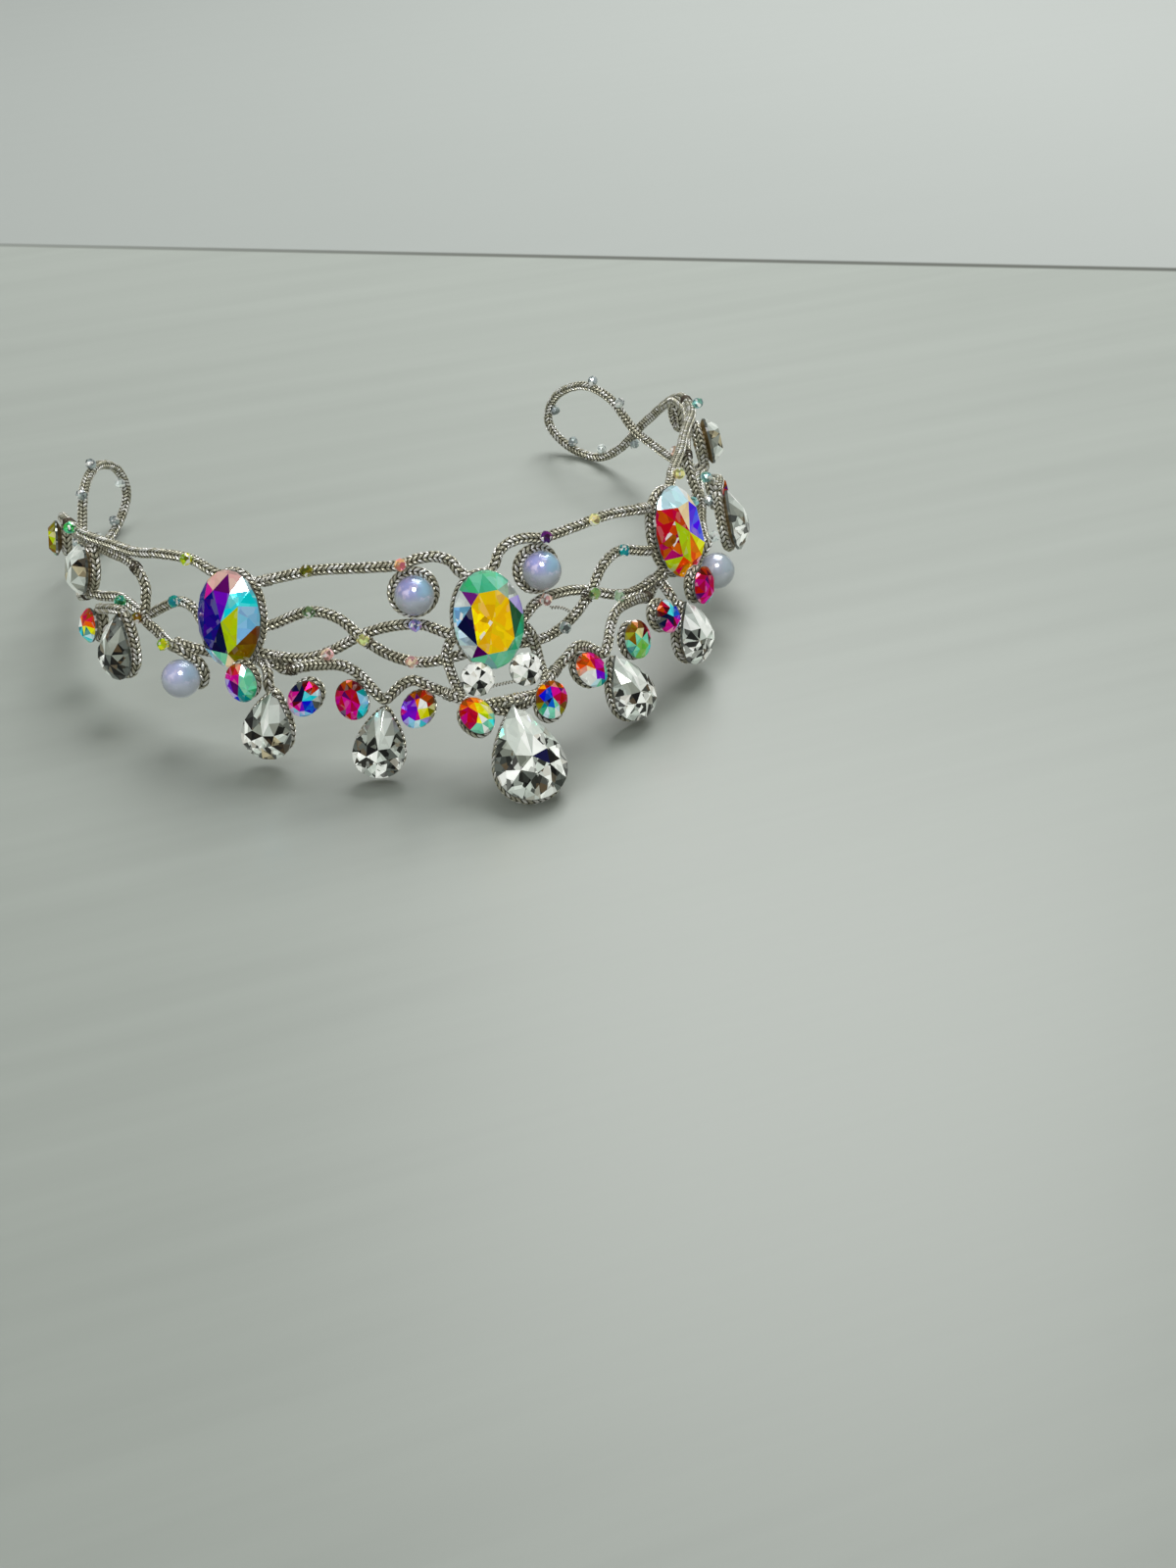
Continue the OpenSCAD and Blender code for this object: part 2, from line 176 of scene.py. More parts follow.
LATTICE = {
    "top_wire": [[1.4, 41, 0.4], [3.2, 43.6, 1.1], [4.4, 46, 0.5], [6.8, 47.4, 0], [10, 47.4, 0],
                 [13.6, 46.2, 0], [20, 46, 0], [28, 45.2, 0], [36.6, 42.6, 2], [39.6, 40.8, 0.6]],
    "wave_rise": [[3, 24.2, 2.4], [5, 23.6, 2.8], [10.5, 21.8, 0.5], [15.5, 24, 0.6], [20, 29, 1.4],
                  [24.4, 34, 0.6], [29.6, 34.8, 0], [35.3, 31.6, 1.6], [38.4, 30.4, 0.6]],
    "wave_dip": [[4, 29.4, 1.4], [6.3, 29.2, 2.2], [10, 31, 0.2], [14.5, 31, -0.8], [20, 29, -1.4],
                 [26, 24.8, -0.6], [31, 22.8, 0], [36.8, 24.1, 2], [39.6, 24.9, 1]],
    "hanger": [[37, 22.2, 0.4], [34.8, 21, 0.9], [32.8, 20.6, 1.6], [28, 23.2, 3.3], [23, 24.4, 5.4],
               [19.9, 22.6, 8], [18.4, 20.4, 9.6], [17, 18.6, 10.4], [15.6, 20, 10], [14.2, 21.8, 9.8],
               [12.4, 22.9, 10.6],
               [10.4, 21.4, 11.2], [8.5, 19.6, 11.4], [5.8, 18.4, 14.6], [3.2, 17.4, 17.4],
               [0.8, 16.4, 18.6], [-1.2, 15.4, 18.8]],
    "arch_wire": [[44.8, 28, 1], [47.6, 28.4, 2.2], [51, 30.8, 0.6], [54.6, 31, 0], [58.8, 28.2, -0.6],
                  [62.4, 25, -1.5], [65, 23.4, 0.6], [65.6, 21.4, 4.2], [65.4, 20, 6]],
    "end_loop": [[43.6, 40.8, 0.6], [46.6, 42.4, 2], [52, 43, 0.4], [60, 42, 0], [67, 40.2, 0],
                 [74, 38.8, 1.2], [81, 37.6, 4], [87, 36.6, 5.6], [93, 34.6, 6.6], [99, 29.6, 6],
                 [104, 23.4, 4.6], [107.6, 18, 3], [112.6, 8.6, 0], [118.6, 2.3, -2.4],
                 [125.6, 2.3, -2.4], [130.6, 6.8, -1], [131.4, 13, 0.6], [128.6, 20.4, 2.2],
                 [122, 25.6, 3], [114.6, 24.6, 2.2], [107.6, 18, 0.2], [101, 15.2, -0.6],
                 [94, 14, -0.2], [87, 15.8, 1.6], [82, 19.8, 3], [78, 23.4, 3.6], [74.4, 24.8, 2.6],
                 [70, 26.6, 1], [66, 26.4, 1], [63, 25.8, 1.4]],
}
SIDES = {"left": -1, "right": 1}
# A bead's centre is raised by this much, then set this far from the middle of the wire nearest to it
BEAD_RISE = 1.8
BEAD_SEAT = 2.6

# Windings round the wires: share of the wire's length, turns, 1 for fine wire and 2 for dark thread
WINDINGS = {
    "top_wire": [(0.90, 3, 1)],
    "wave_rise": [(0.47, 3, 2)],
    "wave_dip": [(0.86, 3, 1)],
    "hanger": [(0.11, 3, 2), (0.74, 3, 1)],
    "arch_wire": [(0.80, 3, 2)],
    "end_loop": [(0.25, 4, 2), (0.40, 4, 1), (0.90, 3, 2)],
    "side_wire": [(0.14, 4, 1), (0.42, 3, 2)],
}
# Thin thread loop beside the right pearl
THREAD_LOOP = [[10.8, 30.2, 2.4], [13.4, 29.4, 3.2], [15, 27.2, 3.4], [14.6, 24.8, 3]]

# Accent beads: place on the lattice with the left and the right colour, then the beads of one side only
BEADS = [
    ([13, 46.2, 3.1], "peach", "plum"), ([20, 29, 4.6], "straw", "moss"),
    ([28.8, 34.8, 3.2], "lichen", "teal"), ([54.4, 30.9, 3.1], "teal", "water"),
    ([62.6, 24.2, 4.5], "bronze", "smoke"), ([54.4, 21.2, 6.5], "lime", "frost"),
    ([67.6, 26.6, 4], "jade", "water"), ([119.4, 28.8, 3], "smoke", "smoke"),
    ([111, 25, 1.6], "smoke", "frost"), ([129.4, 12.6, 0.4], "frost", "smoke"),
    ([125.2, 5.4, -1.6], "smoke", "smoke"), ([118.4, 6.1, -1.4], "frost", "frost"),
    ([109.6, 9.4, 0.8], "smoke", "smoke"), ([94.2, 15.8, 1.2], "water", "blush"),
    ([84.2, 37.2, 7.9], "jade", "water"),
]
OWN_BEADS = {
    "left": [([28.8, 45.2, 3.1], "olive"), ([51.8, 43, 3.5], "lime"), ([25.8, 24.8, 3], "blush"),
             ([11.6, 31, 3.2], "lilac"), ([12.6, 22.2, 3.6], "blush")],
    "right": [([23.6, 45.8, 3.1], "straw"), ([49.6, 42.9, 4], "straw"), ([25, 25.4, 3], "sage"),
              ([11.2, 31, 3.2], "blush"), ([13.6, 22.8, 3.6], "smoke")],
}
# Faceted bead: flats round it, then the place along its hole and the radius of each ring of corners
BEAD_FLATS = 8
BEAD_ALONG = np.array([-1, -0.56, 0, 0.56, 1]) * 1.6
BEAD_REACH = np.array([0.45, 1.30, 1.75, 1.30, 0.45])

# Colours given as display values from 0 to 1
HUES = {
    "gold": (1.0, 0.80, 0.0), "amber": (0.98, 0.60, 0.10), "orange": (0.95, 0.42, 0.05),
    "rust": (0.66, 0.26, 0.06), "brown": (0.42, 0.25, 0.12), "olive": (0.52, 0.50, 0.12),
    "bronze": (0.50, 0.38, 0.08), "lime": (0.72, 0.80, 0.16), "lemon": (0.93, 0.92, 0.28),
    "straw": (0.88, 0.87, 0.62), "cream": (0.97, 0.88, 0.72), "peach": (0.98, 0.70, 0.60),
    "lichen": (0.42, 0.52, 0.38), "red": (0.78, 0.02, 0.03), "crimson": (0.70, 0.0, 0.22),
    "maroon": (0.36, 0.0, 0.04), "magenta": (0.82, 0.0, 0.56), "pink": (0.96, 0.62, 0.74),
    "blush": (0.92, 0.76, 0.72), "plum": (0.34, 0.02, 0.38), "violet": (0.46, 0.08, 0.80),
    "iris": (0.46, 0.42, 0.98), "lilac": (0.72, 0.66, 0.92), "lavender": (0.80, 0.76, 0.92),
    "navy": (0.02, 0.02, 0.24), "ultra": (0.13, 0.0, 0.54), "royal": (0.10, 0.28, 0.82),
    "sky": (0.58, 0.80, 0.94), "cyan": (0.36, 0.88, 0.92), "ice": (0.80, 0.92, 0.95),
    "teal": (0.18, 0.56, 0.56), "water": (0.55, 0.74, 0.72), "mint": (0.52, 0.84, 0.70),
    "jade": (0.34, 0.70, 0.52), "forest": (0.16, 0.34, 0.22), "leaf": (0.50, 0.72, 0.38),
    "moss": (0.56, 0.64, 0.42), "sage": (0.60, 0.70, 0.60), "frost": (0.82, 0.85, 0.84),
    "smoke": (0.58, 0.62, 0.62), "snow": (0.96, 0.97, 0.95), "mist": (0.78, 0.81, 0.78),
    "pearl": (0.86, 0.88, 0.85), "ash": (0.55, 0.57, 0.53), "slate": (0.34, 0.36, 0.34),
    "ink": (0.05, 0.05, 0.05), "umber": (0.22, 0.17, 0.11), "sand": (0.70, 0.66, 0.54),
}

# Facet colours of each stone, counter-clockwise from the top as seen from its front: painted reflections, the
# coating's rainbow on the coloured stones and light and dark on the clear ones, fixed to each facet. The rows
# are the 8 wedges that show through the table, the 8 stars, and the 8 kites of two halves each. A star sign
# marks a facet that is broken into small painted reflections. A pear's first wedge and star lie to the right
# of its tip.
CHARTS = {
    "centre_oval": (
        "gold gold gold* gold gold gold gold gold",
        "jade plum navy plum mint jade forest sage",
        "mint jade frost sky* ice* frost* mint water mint mint mint jade lilac mist* mint mint",
    ),
    "side_oval_left": (
        "violet ultra ultra ultra navy lime lime cyan",
        "plum magenta ultra navy mint bronze sky cyan",
        "blush blush ultra ultra ultra navy sky* ice* cream olive bronze brown sky cyan ice blush",
    ),
    "side_oval_right": (
        "cream red lime lime orange lemon iris iris",
        "ice red red* orange orange* gold lavender cream",
        "ice ice red* red red* lime orange* amber pink snow* gold cream lavender cream snow ice",
    ),
    "warm_left": (
        "amber crimson crimson lemon snow lime lemon lemon",
        "orange crimson red mint mint lime straw orange",
        "rust orange crimson magenta crimson mint mint snow mint cyan mint straw lemon amber orange rust",
    ),
    "cool_right": (
        "magenta royal royal navy royal mint crimson magenta",
        "brown rust royal teal mint ice crimson plum",
        "rust brown amber rust brown olive jade ice mint snow olive brown crimson magenta rust brown",
    ),
    "berry": (
        "crimson plum magenta magenta crimson magenta crimson crimson",
        "maroon crimson crimson magenta magenta cyan sky maroon",
        "rust maroon crimson magenta crimson plum crimson magenta teal cyan cyan sky teal maroon maroon rust",
    ),
    "violet_heart": (
        "snow orange violet violet violet magenta lemon snow",
        "rust plum violet violet sky ice lemon rust",
        "rust brown rust plum violet magenta violet lilac sky ice cyan lilac olive straw brown rust",
    ),
    "rose_dark": (
        "cyan navy navy maroon magenta violet royal cyan",
        "maroon navy magenta magenta sky lavender royal cyan",
        "red maroon slate navy magenta pink pink lavender lavender sky sky royal slate mist ice red",
    ),
    "magenta_mint": (
        "magenta magenta plum plum teal mint mint mint",
        "crimson magenta violet lilac teal mint mint mint",
        "rust crimson magenta lilac lilac lavender royal teal teal jade jade mint mint mint frost peach",
    ),
    "sunset": (
        "orange cream snow violet violet crimson magenta crimson",
        "rust peach snow ice violet mint magenta crimson",
        "rust orange peach snow snow ice mint teal cyan mint mint magenta crimson magenta red rust",
    ),
    "bronze_green": (
        "straw straw mint leaf leaf leaf mint maroon",
        "brown bronze bronze mint leaf mint maroon maroon",
        "brown bronze bronze olive mint teal jade leaf leaf mint cyan mint pink crimson maroon brown",
    ),
    "ember": (
        "red orange snow teal cyan teal lemon orange",
        "red orange straw teal cyan cyan teal orange",
        "rust red orange orange straw teal cyan cyan teal mint cyan ice lemon orange red rust",
    ),
    "olive_edge": (
        "olive lime straw olive bronze bronze olive lime",
        "bronze olive lime bronze olive brown bronze lime",
        "olive bronze lime olive straw bronze olive brown teal jade bronze olive lime straw olive olive",
    ),
    "clear_large": (
        "mist snow pearl ash* snow* mist* navy snow",
        "mist pearl mist snow* slate* snow* ink snow*",
        "pearl mist mist mist ash* slate* snow* mist* mist* snow* slate* snow* snow* mist* mist pearl",
    ),
    "clear_ashen": (
        "mist pearl ash* ink snow* mist* slate* mist",
        "pearl mist ash slate* snow* snow* slate* mist",
        "mist ash mist ash mist* slate* snow* snow* mist* snow* slate* snow* mist* ash* ash mist",
    ),
    "clear_stark": (
        "snow pearl ash* ink snow* mist* umber* mist",
        "pearl mist slate* ink snow* snow* sand* ash",
        "mist mist ash mist* ink snow* snow* snow* mist* sand* mist* umber* mist* ash* mist mist",
    ),
    "clear_dark": (
        "ash mist ash* slate* snow* ink slate* ash",
        "slate* snow* ash slate* snow* slate* ink ash",
        "slate* snow* ash mist ash slate* snow* snow* mist* slate* ink slate* ash* slate* ash slate*",
    ),
    "clear_bright": (
        "snow mist ash ink snow* snow* mist* pearl",
        "snow mist ash* snow* snow* mist* snow* pearl",
        "pearl snow mist ash mist* snow* snow* mist* snow* snow* mist* snow* snow* mist* mist snow",
    ),
    "clear_pale": (
        "snow snow mist ash* snow* snow* mist* snow",
        "snow snow mist* snow* snow* slate* snow* snow",
        "snow snow mist snow mist* snow* snow* mist* snow* snow* mist* snow* snow* snow* mist snow",
    ),
    "clear_round": (
        "snow snow* snow mist* ink slate* snow snow*",
        "snow* snow snow ash* slate* snow snow snow*",
        "snow snow snow* snow mist* snow slate* snow ash* snow snow snow* snow snow mist* snow",
    ),
    "foiled": (
        "mist pearl ash* sand* mist mist pearl ash*",
        "mist ash sand* mist pearl mist ash mist",
        "pearl mist sand* ash mist pearl mist sand* mist pearl ash mist sand* umber* mist pearl",
    ),
}

# Chart of each small oval and side pear
STONE_CHARTS = {
    "small_oval_centre_left": "warm_left", "small_oval_centre_right": "cool_right",
    "small_oval_a_outer_left": "berry", "small_oval_a_inner_left": "violet_heart",
    "small_oval_b_outer_left": "magenta_mint", "small_oval_b_inner_left": "rose_dark",
    "small_oval_a_inner_right": "sunset", "small_oval_a_outer_right": "bronze_green",
    "small_oval_b_inner_right": "rose_dark", "small_oval_b_outer_right": "berry",
    "small_oval_c_left": "ember", "small_oval_c_right": "violet_heart",
    "small_oval_d_left": "olive_edge", "small_oval_d_right": "ember",
    "pear_a_left": "clear_ashen", "pear_a_right": "clear_bright",
    "pear_b_left": "clear_stark", "pear_b_right": "clear_pale",
    "pear_c_left": "clear_dark", "pear_c_right": "clear_bright",
}

# A full turn in radians, for the waves of the threads
FULL_TURN = 6.2832
# Linear colours that the finishes mix in
# Painted glint: the near-white colour that some stitches are given
PAINTED_STITCH_GLINT = (1.0, 1.0, 0.97, 1)
CHAMPAGNE = (0.44, 0.39, 0.20, 1)
FINE_WIRE = (0.54, 0.52, 0.45)
DARK_THREAD = (0.10, 0.08, 0.06)
# Painted glint: brown reflections in the clear stones
BROWN_GLINT = (0.20, 0.13, 0.06, 1)
# Painted glint: near-white streaks in the rainbow stones
PAINTED_WHITE_GLINT = (0.95, 0.93, 0.90, 1)
# Painted glint on the beads
BEAD_GLINT = (0.95, 0.95, 0.92, 1)
# The pearl's own blue; the teal is a painted glint, the grey painted light on the lower half, the pink a
# painted sheen
NACRE_BLUE = (0.32, 0.32, 0.66, 1)
PAINTED_TEAL_GLINT = (0.26, 0.48, 0.62, 1)
PAINTED_GREY_BELOW = (0.50, 0.54, 0.58, 1)
PAINTED_PINK_SHEEN = (0.86, 0.72, 0.86, 1)
COAT_CLOUD = (0.80, 0.83, 0.90, 1)
COAT_CLEAR = (0.96, 0.96, 0.98, 1)
# Painted shadow line along the back of the table
PAINTED_SHADOW_LINE = (0.14, 0.15, 0.13, 1)
# Milky colour of each side's pearls, and how milky pearl A and pearl B are
MILK = {"left": (0.56, 0.60, 0.70), "right": (0.44, 0.47, 0.46)}
MILKY = {"left": (0.0, 0.45), "right": (0.0, 0.7)}
# Painted light and dark of the shards in clear glass, painted reflections from black to glints brighter than
# white: places on the ramp and their tones
PAINTED_GLASS_REFLECTIONS = [(0.0, (0.01, 0.01, 0.01, 1)), (0.34, (0.04, 0.04, 0.035, 1)), (0.42, (0.46, 0.47, 0.45, 1)),
               (0.58, (0.98, 0.99, 0.97, 1)), (1.0, (1.4, 1.4, 1.4, 1))]
# What differs between the two cut glasses; the emission in each is a painted glow standing for light returned
# by the foil and the coating
CLEAR_GLASS = {"Metallic": 0.25, "Specular_IOR_Level": 0.2, "Specular_Tint": (1.0, 1.0, 1.0, 1),
               "Coat_Weight": 0.3, "Emission_Strength": 0.48}
RAINBOW_GLASS = {"Metallic": 0.45, "Specular_IOR_Level": 0.1, "Specular_Tint": (0.45, 0.45, 0.55, 1),
                 "Coat_Weight": 0.15, "Emission_Strength": 0.34}

# Camera: angles down, to the right and of roll, lens and sensor in millimetres, place in metres
CAMERA_DOWN = 35.5
CAMERA_RIGHT = 19.1
CAMERA_ROLL = 1.5
CAMERA_LENS = 45
CAMERA_SENSOR = 36
CAMERA_PLACE = (-0.1149, -0.4617, 0.2812)
# Line at the back of the table: shares of x and y, and distance in metres
BACK_LINE = (0.447, 0.895, 0.2837)
# Half width of the table top, and lights: name of the setting, place, what it points at, size, in metres
TABLE_REACH = 12
LIGHTS = {
    "key_softbox": ("key", (0.45, 0.62, 0.95), (0, 0.05, 0), 0.7),
    "fill_softbox": ("fill", (-0.95, -0.35, 0.85), (0, 0, 0), 0.7),
    "window": ("window", (-0.10, -0.53, 1.07), (0, 0, 0.02), 0.42),
}
ROOM_LIGHT = (0.90, 0.93, 0.89, 1)
ROOM_STRENGTH = 0.36


class TiaraWire(bpy.types.PropertyGroup):
    """Sizes and colours of the braided wire"""

    diameter: FloatProperty(
        name="Wire diameter", description="Diameter of the braided wire over its stitches",
        default=0.0028, min=0.0015, max=0.004, precision=5, unit="LENGTH")
    stitch: FloatProperty(
        name="Stitch length", description="Length of one stitch of the braid along the wire",
        default=0.00130, min=0.0006, max=0.003, precision=5, unit="LENGTH")
    slant: FloatProperty(
        name="Slant", description="Stitches that a leg runs along the wire while it crosses its column",
        default=0.9, min=0.2, max=3.0)
    relief: FloatProperty(
        name="Stitch relief", description="Depth of the gaps between stitches",
        default=0.00036, min=0.0, max=0.0006, precision=5, unit="LENGTH")
    columns: IntProperty(
        name="Columns", description="Columns of V stitches round the wire", default=3, min=2, max=8)
    gauge: FloatProperty(
        name="Fine wire", description="Diameter of the fine wire and thread wound round the joints",
        default=0.00036, min=0.0002, max=0.001, precision=5, unit="LENGTH")
    silver: FloatVectorProperty(
        name="Thread colour", description="Colour of the metal thread on top of a stitch",
        subtype="COLOR", default=(0.97, 0.95, 0.77), min=0.0, max=1.0)
    # The gap colour is painted shade in the recesses between the stitches
    gap: FloatVectorProperty(
        name="Gap colour", description="Colour of the dark gaps between the stitches",
        subtype="COLOR", default=(0.056, 0.052, 0.026), min=0.0, max=1.0)


class TiaraStones(bpy.types.PropertyGroup):
    """Finish of the cut stones"""

    shard: FloatProperty(
        name="Shard size", description="Size of the broken reflections inside a large stone",
        default=0.0026, min=0.0005, max=0.01, precision=5, unit="LENGTH")
    tilt: FloatProperty(
        name="Sparkle", description="How far the broken reflections tilt from their facet",
        subtype="FACTOR", default=0.34, min=0.0, max=1.0)
    foil: FloatVectorProperty(
        name="Foil colour", description="Colour of the foil on the back of the stones",
        subtype="COLOR", default=(0.30, 0.21, 0.09), min=0.0, max=1.0)


class TiaraPearls(bpy.types.PropertyGroup):
    """Sizes and colours of the pearls"""

    diameter: FloatProperty(
        name="Pearl diameter", description="Diameter of the glass coat of a pearl",
        default=0.010, min=0.006, max=0.014, precision=5, unit="LENGTH")
    core: FloatProperty(
        name="Core", description="Diameter of the coloured core as a share of the pearl's",
        subtype="FACTOR", default=0.86, min=0.5, max=0.95)


class TiaraStage(bpy.types.PropertyGroup):
    """Table and lights"""

    table: FloatVectorProperty(
        name="Table colour", description="Colour of the satin table top",
        subtype="COLOR", default=(0.462, 0.499, 0.458), min=0.0, max=1.0)
    key: FloatProperty(
        name="Key light", description="Power of the large soft light",
        default=10.0, min=0.0, max=200.0, unit="POWER")
    window: FloatProperty(
        name="Window", description="Power of the bright window that only shows as gloss",
        default=14.0, min=0.0, max=200.0, unit="POWER")
    fill: FloatProperty(
        name="Fill light", description="Power of the soft light at the left",
        default=1.6, min=0.0, max=200.0, unit="POWER")


def display(name):
    """Linear colour of a named hue, with alpha: the display curve undone channel by channel."""
    c = np.array(HUES[name])
    return (*np.where(c <= 0.04045, c / 12.92, ((c + 0.055) / 1.055) ** 2.4), 1.0)


def shaded(colour, *shares):
    """Colour with alpha: each channel times its share, or all three times the one share that is given."""
    return (*(c * s for c, s in zip(colour, shares * 3)), 1)


def turn(degrees):
    """Cosine and sine of an angle in degrees."""
    return np.cos(np.radians(degrees)), np.sin(np.radians(degrees))


def lift(angle):
    """How much the lattice is raised at an angle: rising in a straight line, full, then falling in one."""
    share = np.minimum((angle - LIFT_START) / LIFT_RISE, (LIFT_END - angle) / LIFT_FALL)
    return END_LIFT * np.clip(share, 0, 1)


def route_points(route, side):
    """Lattice points in millimetres: radius falls with height, and the side's lift and spread are added."""
    a, h, out = np.array(route, float).T
    h = h + side * lift(a)
    r = BAND_R - BAND_SLOPE * h + out - side * END_SPREAD * np.clip((a - SPREAD_START) / SPREAD_RISE, 0, 1)
    c, s = turn(a)
    return np.stack([side * r * s, BAND_BACK - r * c, h], 1)


def seat_point(seat, side, point):
    """A point of a stone's own plane in millimetres.

    It is rolled, leaned back, turned to its angle, raised along the lattice by its side's lift, and mirrored
    for the left.
    """
    angle, radius, height, lean, face, roll = seat
    raised = side * lift(angle)
    radius = radius - BAND_SLOPE * raised
    (cr, sr), (cl, sl) = turn(roll), turn(lean)
    x = point[0] * cr - point[1] * sr
    y = point[0] * sr + point[1] * cr
    out = -y * sl + point[2] * cl
    up = y * cl + point[2] * sl
    (ca, sa), (cf, sf) = turn(angle), turn(angle + face)
    return np.array([side * (radius * sa + x * cf + out * sf),
                     BAND_BACK - radius * ca + x * sf - out * cf,
                     height + raised + up])


class Seat:
    """Origin and axes of a stone's plane: x right, y up and z out of its face, as seen from the front."""

    def __init__(self, seat, side, place=None, hand=1):
        dx, dy, roll = (hand * place[0], place[1], -hand * place[2]) if place else (0, 0, 0)
        self.origin = seat_point(seat, side, (dx, dy, 0))
        across = side * (seat_point(seat, side, (dx + 1, dy, 0)) - self.origin)
        upright = seat_point(seat, side, (dx, dy + 1, 0)) - self.origin
        c, s = turn(side * roll)
        self.axes = np.array([c * across + s * upright, c * upright - s * across,
                              seat_point(seat, side, (dx, dy, 1)) - self.origin])

    def put(self, points):
        """Local points carried to the part's frame: origin plus each coordinate times its axis."""
        return self.origin + np.asarray(points, float) @ self.axes


def oval(t, size):
    """Ellipse, counter-clockwise from the top: minus half width times sine, half length times cosine."""
    c, s = turn(t)
    return np.stack([-size[0] / 2 * s, size[1] / 2 * c], -1)


def drop(t, size):
    """Teardrop with its tip at the top: the ellipse's width times the sine of half the angle, scaled."""
    c, s = turn(t)
    return np.stack([-size[0] / 2 * s * turn(t / 2)[1] / DROP_WIDEST, size[1] / 2 * c], -1)


def evenly(path, closed=False):
    """The same line with points an even distance apart, by arc length."""
    line = np.vstack([path, path[:1]]) if closed else path
    run = np.concatenate([[0], np.cumsum(np.linalg.norm(np.diff(line, axis=0), axis=1))])
    count = max(8, int(round(run[-1] / PATH_STEP)))
    at = np.linspace(0, run[-1], count, endpoint=False) if closed else np.linspace(0, run[-1], count + 1)
    return np.stack([np.interp(at, run, line[:, k]) for k in range(3)], 1)


def spline(points):
    """Catmull-Rom curve through the points, its ends repeated, evenly spaced."""
    p = np.vstack([points[:1], points, points[-1:]])
    a, b, c, d = (p[k:len(p) - 3 + k, None, :] for k in range(4))
    t = np.linspace(0, 1, 24, endpoint=False)[None, :, None]
    line = 0.5 * (2 * b + (c - a) * t + (2 * a - 5 * b + 4 * c - d) * t**2 + (3 * b - a - 3 * c + d) * t**3)
    return evenly(np.vstack([line.reshape(-1, 3), points[-1:]]))


def carried(path, closed):
    """Two side vectors at each point, carried along the path without twist.

    Each point takes the axis that its tangent leans least towards. The angle between one point's side
    vector, laid into the next point's plane, and the next one's own is the twist between them, and the
    running sum of those angles turns each side vector back.
    """
    t = np.roll(path, -1, 0) - np.roll(path, 1, 0) if closed else np.gradient(path, axis=0)
    t /= np.linalg.norm(t, axis=1, keepdims=True)
    seed = np.eye(3)[np.argmin(np.abs(t), axis=1)]
    n = seed - (seed * t).sum(1, keepdims=True) * t
    n /= np.linalg.norm(n, axis=1, keepdims=True)
    b = np.cross(t, n)
    ahead = n[:-1] - (n[:-1] * t[1:]).sum(1, keepdims=True) * t[1:]
    step = np.arctan2((ahead * b[1:]).sum(1), (ahead * n[1:]).sum(1))
    angle = np.concatenate([[0], np.cumsum(step)])[:, None]
    u = np.cos(angle) * n + np.sin(angle) * b
    return u, np.cross(t, u)


class Blank:
    """Arrays of one piece, gathered until its mesh is made."""

    def __init__(self):
        self.points = []
        self.faces = []
        self.count = 0

    def add(self, points, faces, chart=None, tint=None, slot=0, smooth=True):
        """Adds points in millimetres, faces of one size, and what each face or corner carries."""
        faces = np.asarray(faces)
        corners = faces.shape
        chart = np.zeros((*corners, 2)) if chart is None else chart
        tint = np.ones((corners[0], 4)) if tint is None else np.broadcast_to(tint, (corners[0], 4))
        slots = np.full(corners[0], slot)
        self.points.append(points)
        self.faces.append((faces + self.count, chart, tint, slots, np.full(corners[0], smooth)))
        self.count += len(points)

    def more(self, faces, chart=None, tint=None, slot=0, smooth=True):
        """Adds more faces on the points that were added last."""
        last = self.points.pop()
        self.count -= len(last)
        self.add(last, faces, chart, tint, slot, smooth)

    def piece(self, name, finishes, nodes, slot):
        """Makes the mesh from the arrays, in metres, and places the piece on the frame."""
        corners = np.concatenate([faces.ravel() for faces, *_ in self.faces])
        sizes = np.concatenate([np.full(len(faces), faces.shape[1]) for faces, *_ in self.faces])
        charts = np.concatenate([chart.reshape(-1) for _, chart, *_ in self.faces])
        hues_and_painted_reflections = np.concatenate([np.repeat(tint, faces.shape[1], axis=0) for faces, _, tint, *_ in self.faces])
        slots = np.concatenate([slots for *_, slots, _ in self.faces])
        mesh = bpy.data.meshes.new(name)
        mesh.vertices.add(self.count)
        mesh.loops.add(len(corners))
        mesh.polygons.add(len(sizes))
        mesh.vertices.foreach_set("co", (np.vstack(self.points) * MM).astype(np.float32).ravel())
        mesh.loops.foreach_set("vertex_index", corners.astype(np.int32))
        mesh.polygons.foreach_set("loop_start", (np.cumsum(sizes) - sizes).astype(np.int32))
        mesh.update(calc_edges=True)
        mesh.polygons.foreach_set("material_index", slots.astype(np.int32))
        mesh.polygons.foreach_set("use_smooth", np.concatenate([smooth for *_, smooth in self.faces]))
        chart_layer = mesh.uv_layers.new(name="chart")
        chart_layer.data.foreach_set("uv", charts.astype(np.float32))
        hue_and_painted_reflection_layer = mesh.color_attributes.new(name="tint", type="FLOAT_COLOR", domain="CORNER")
        hue_and_painted_reflection_layer.data.foreach_set("color", hues_and_painted_reflections.astype(np.float32).ravel())
        for finish in finishes:
            mesh.materials.append(finish)
        if mesh.validate():
            raise RuntimeError(f"{name} has faces that can't be used")
        piece = bpy.data.objects.new(name, mesh)
        bpy.context.scene.collection.objects.link(piece)
        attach(piece, "root")
        if nodes:
            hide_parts(*nodes)
        return piece


def wrap(rows, around, closed):
    """Quads, facing outwards, of a grid that closes round its second parameter and, if closed, its first."""
    i = np.arange(rows if closed else rows - 1)[:, None]
    k = np.arange(around)[None, :]
    here, ahead = i * around, (i + 1) % rows * around
    m = (k + 1) % around
    return np.stack(np.broadcast_arrays(here + k, here + m, ahead + m, ahead + k), -1).reshape(-1, 4)


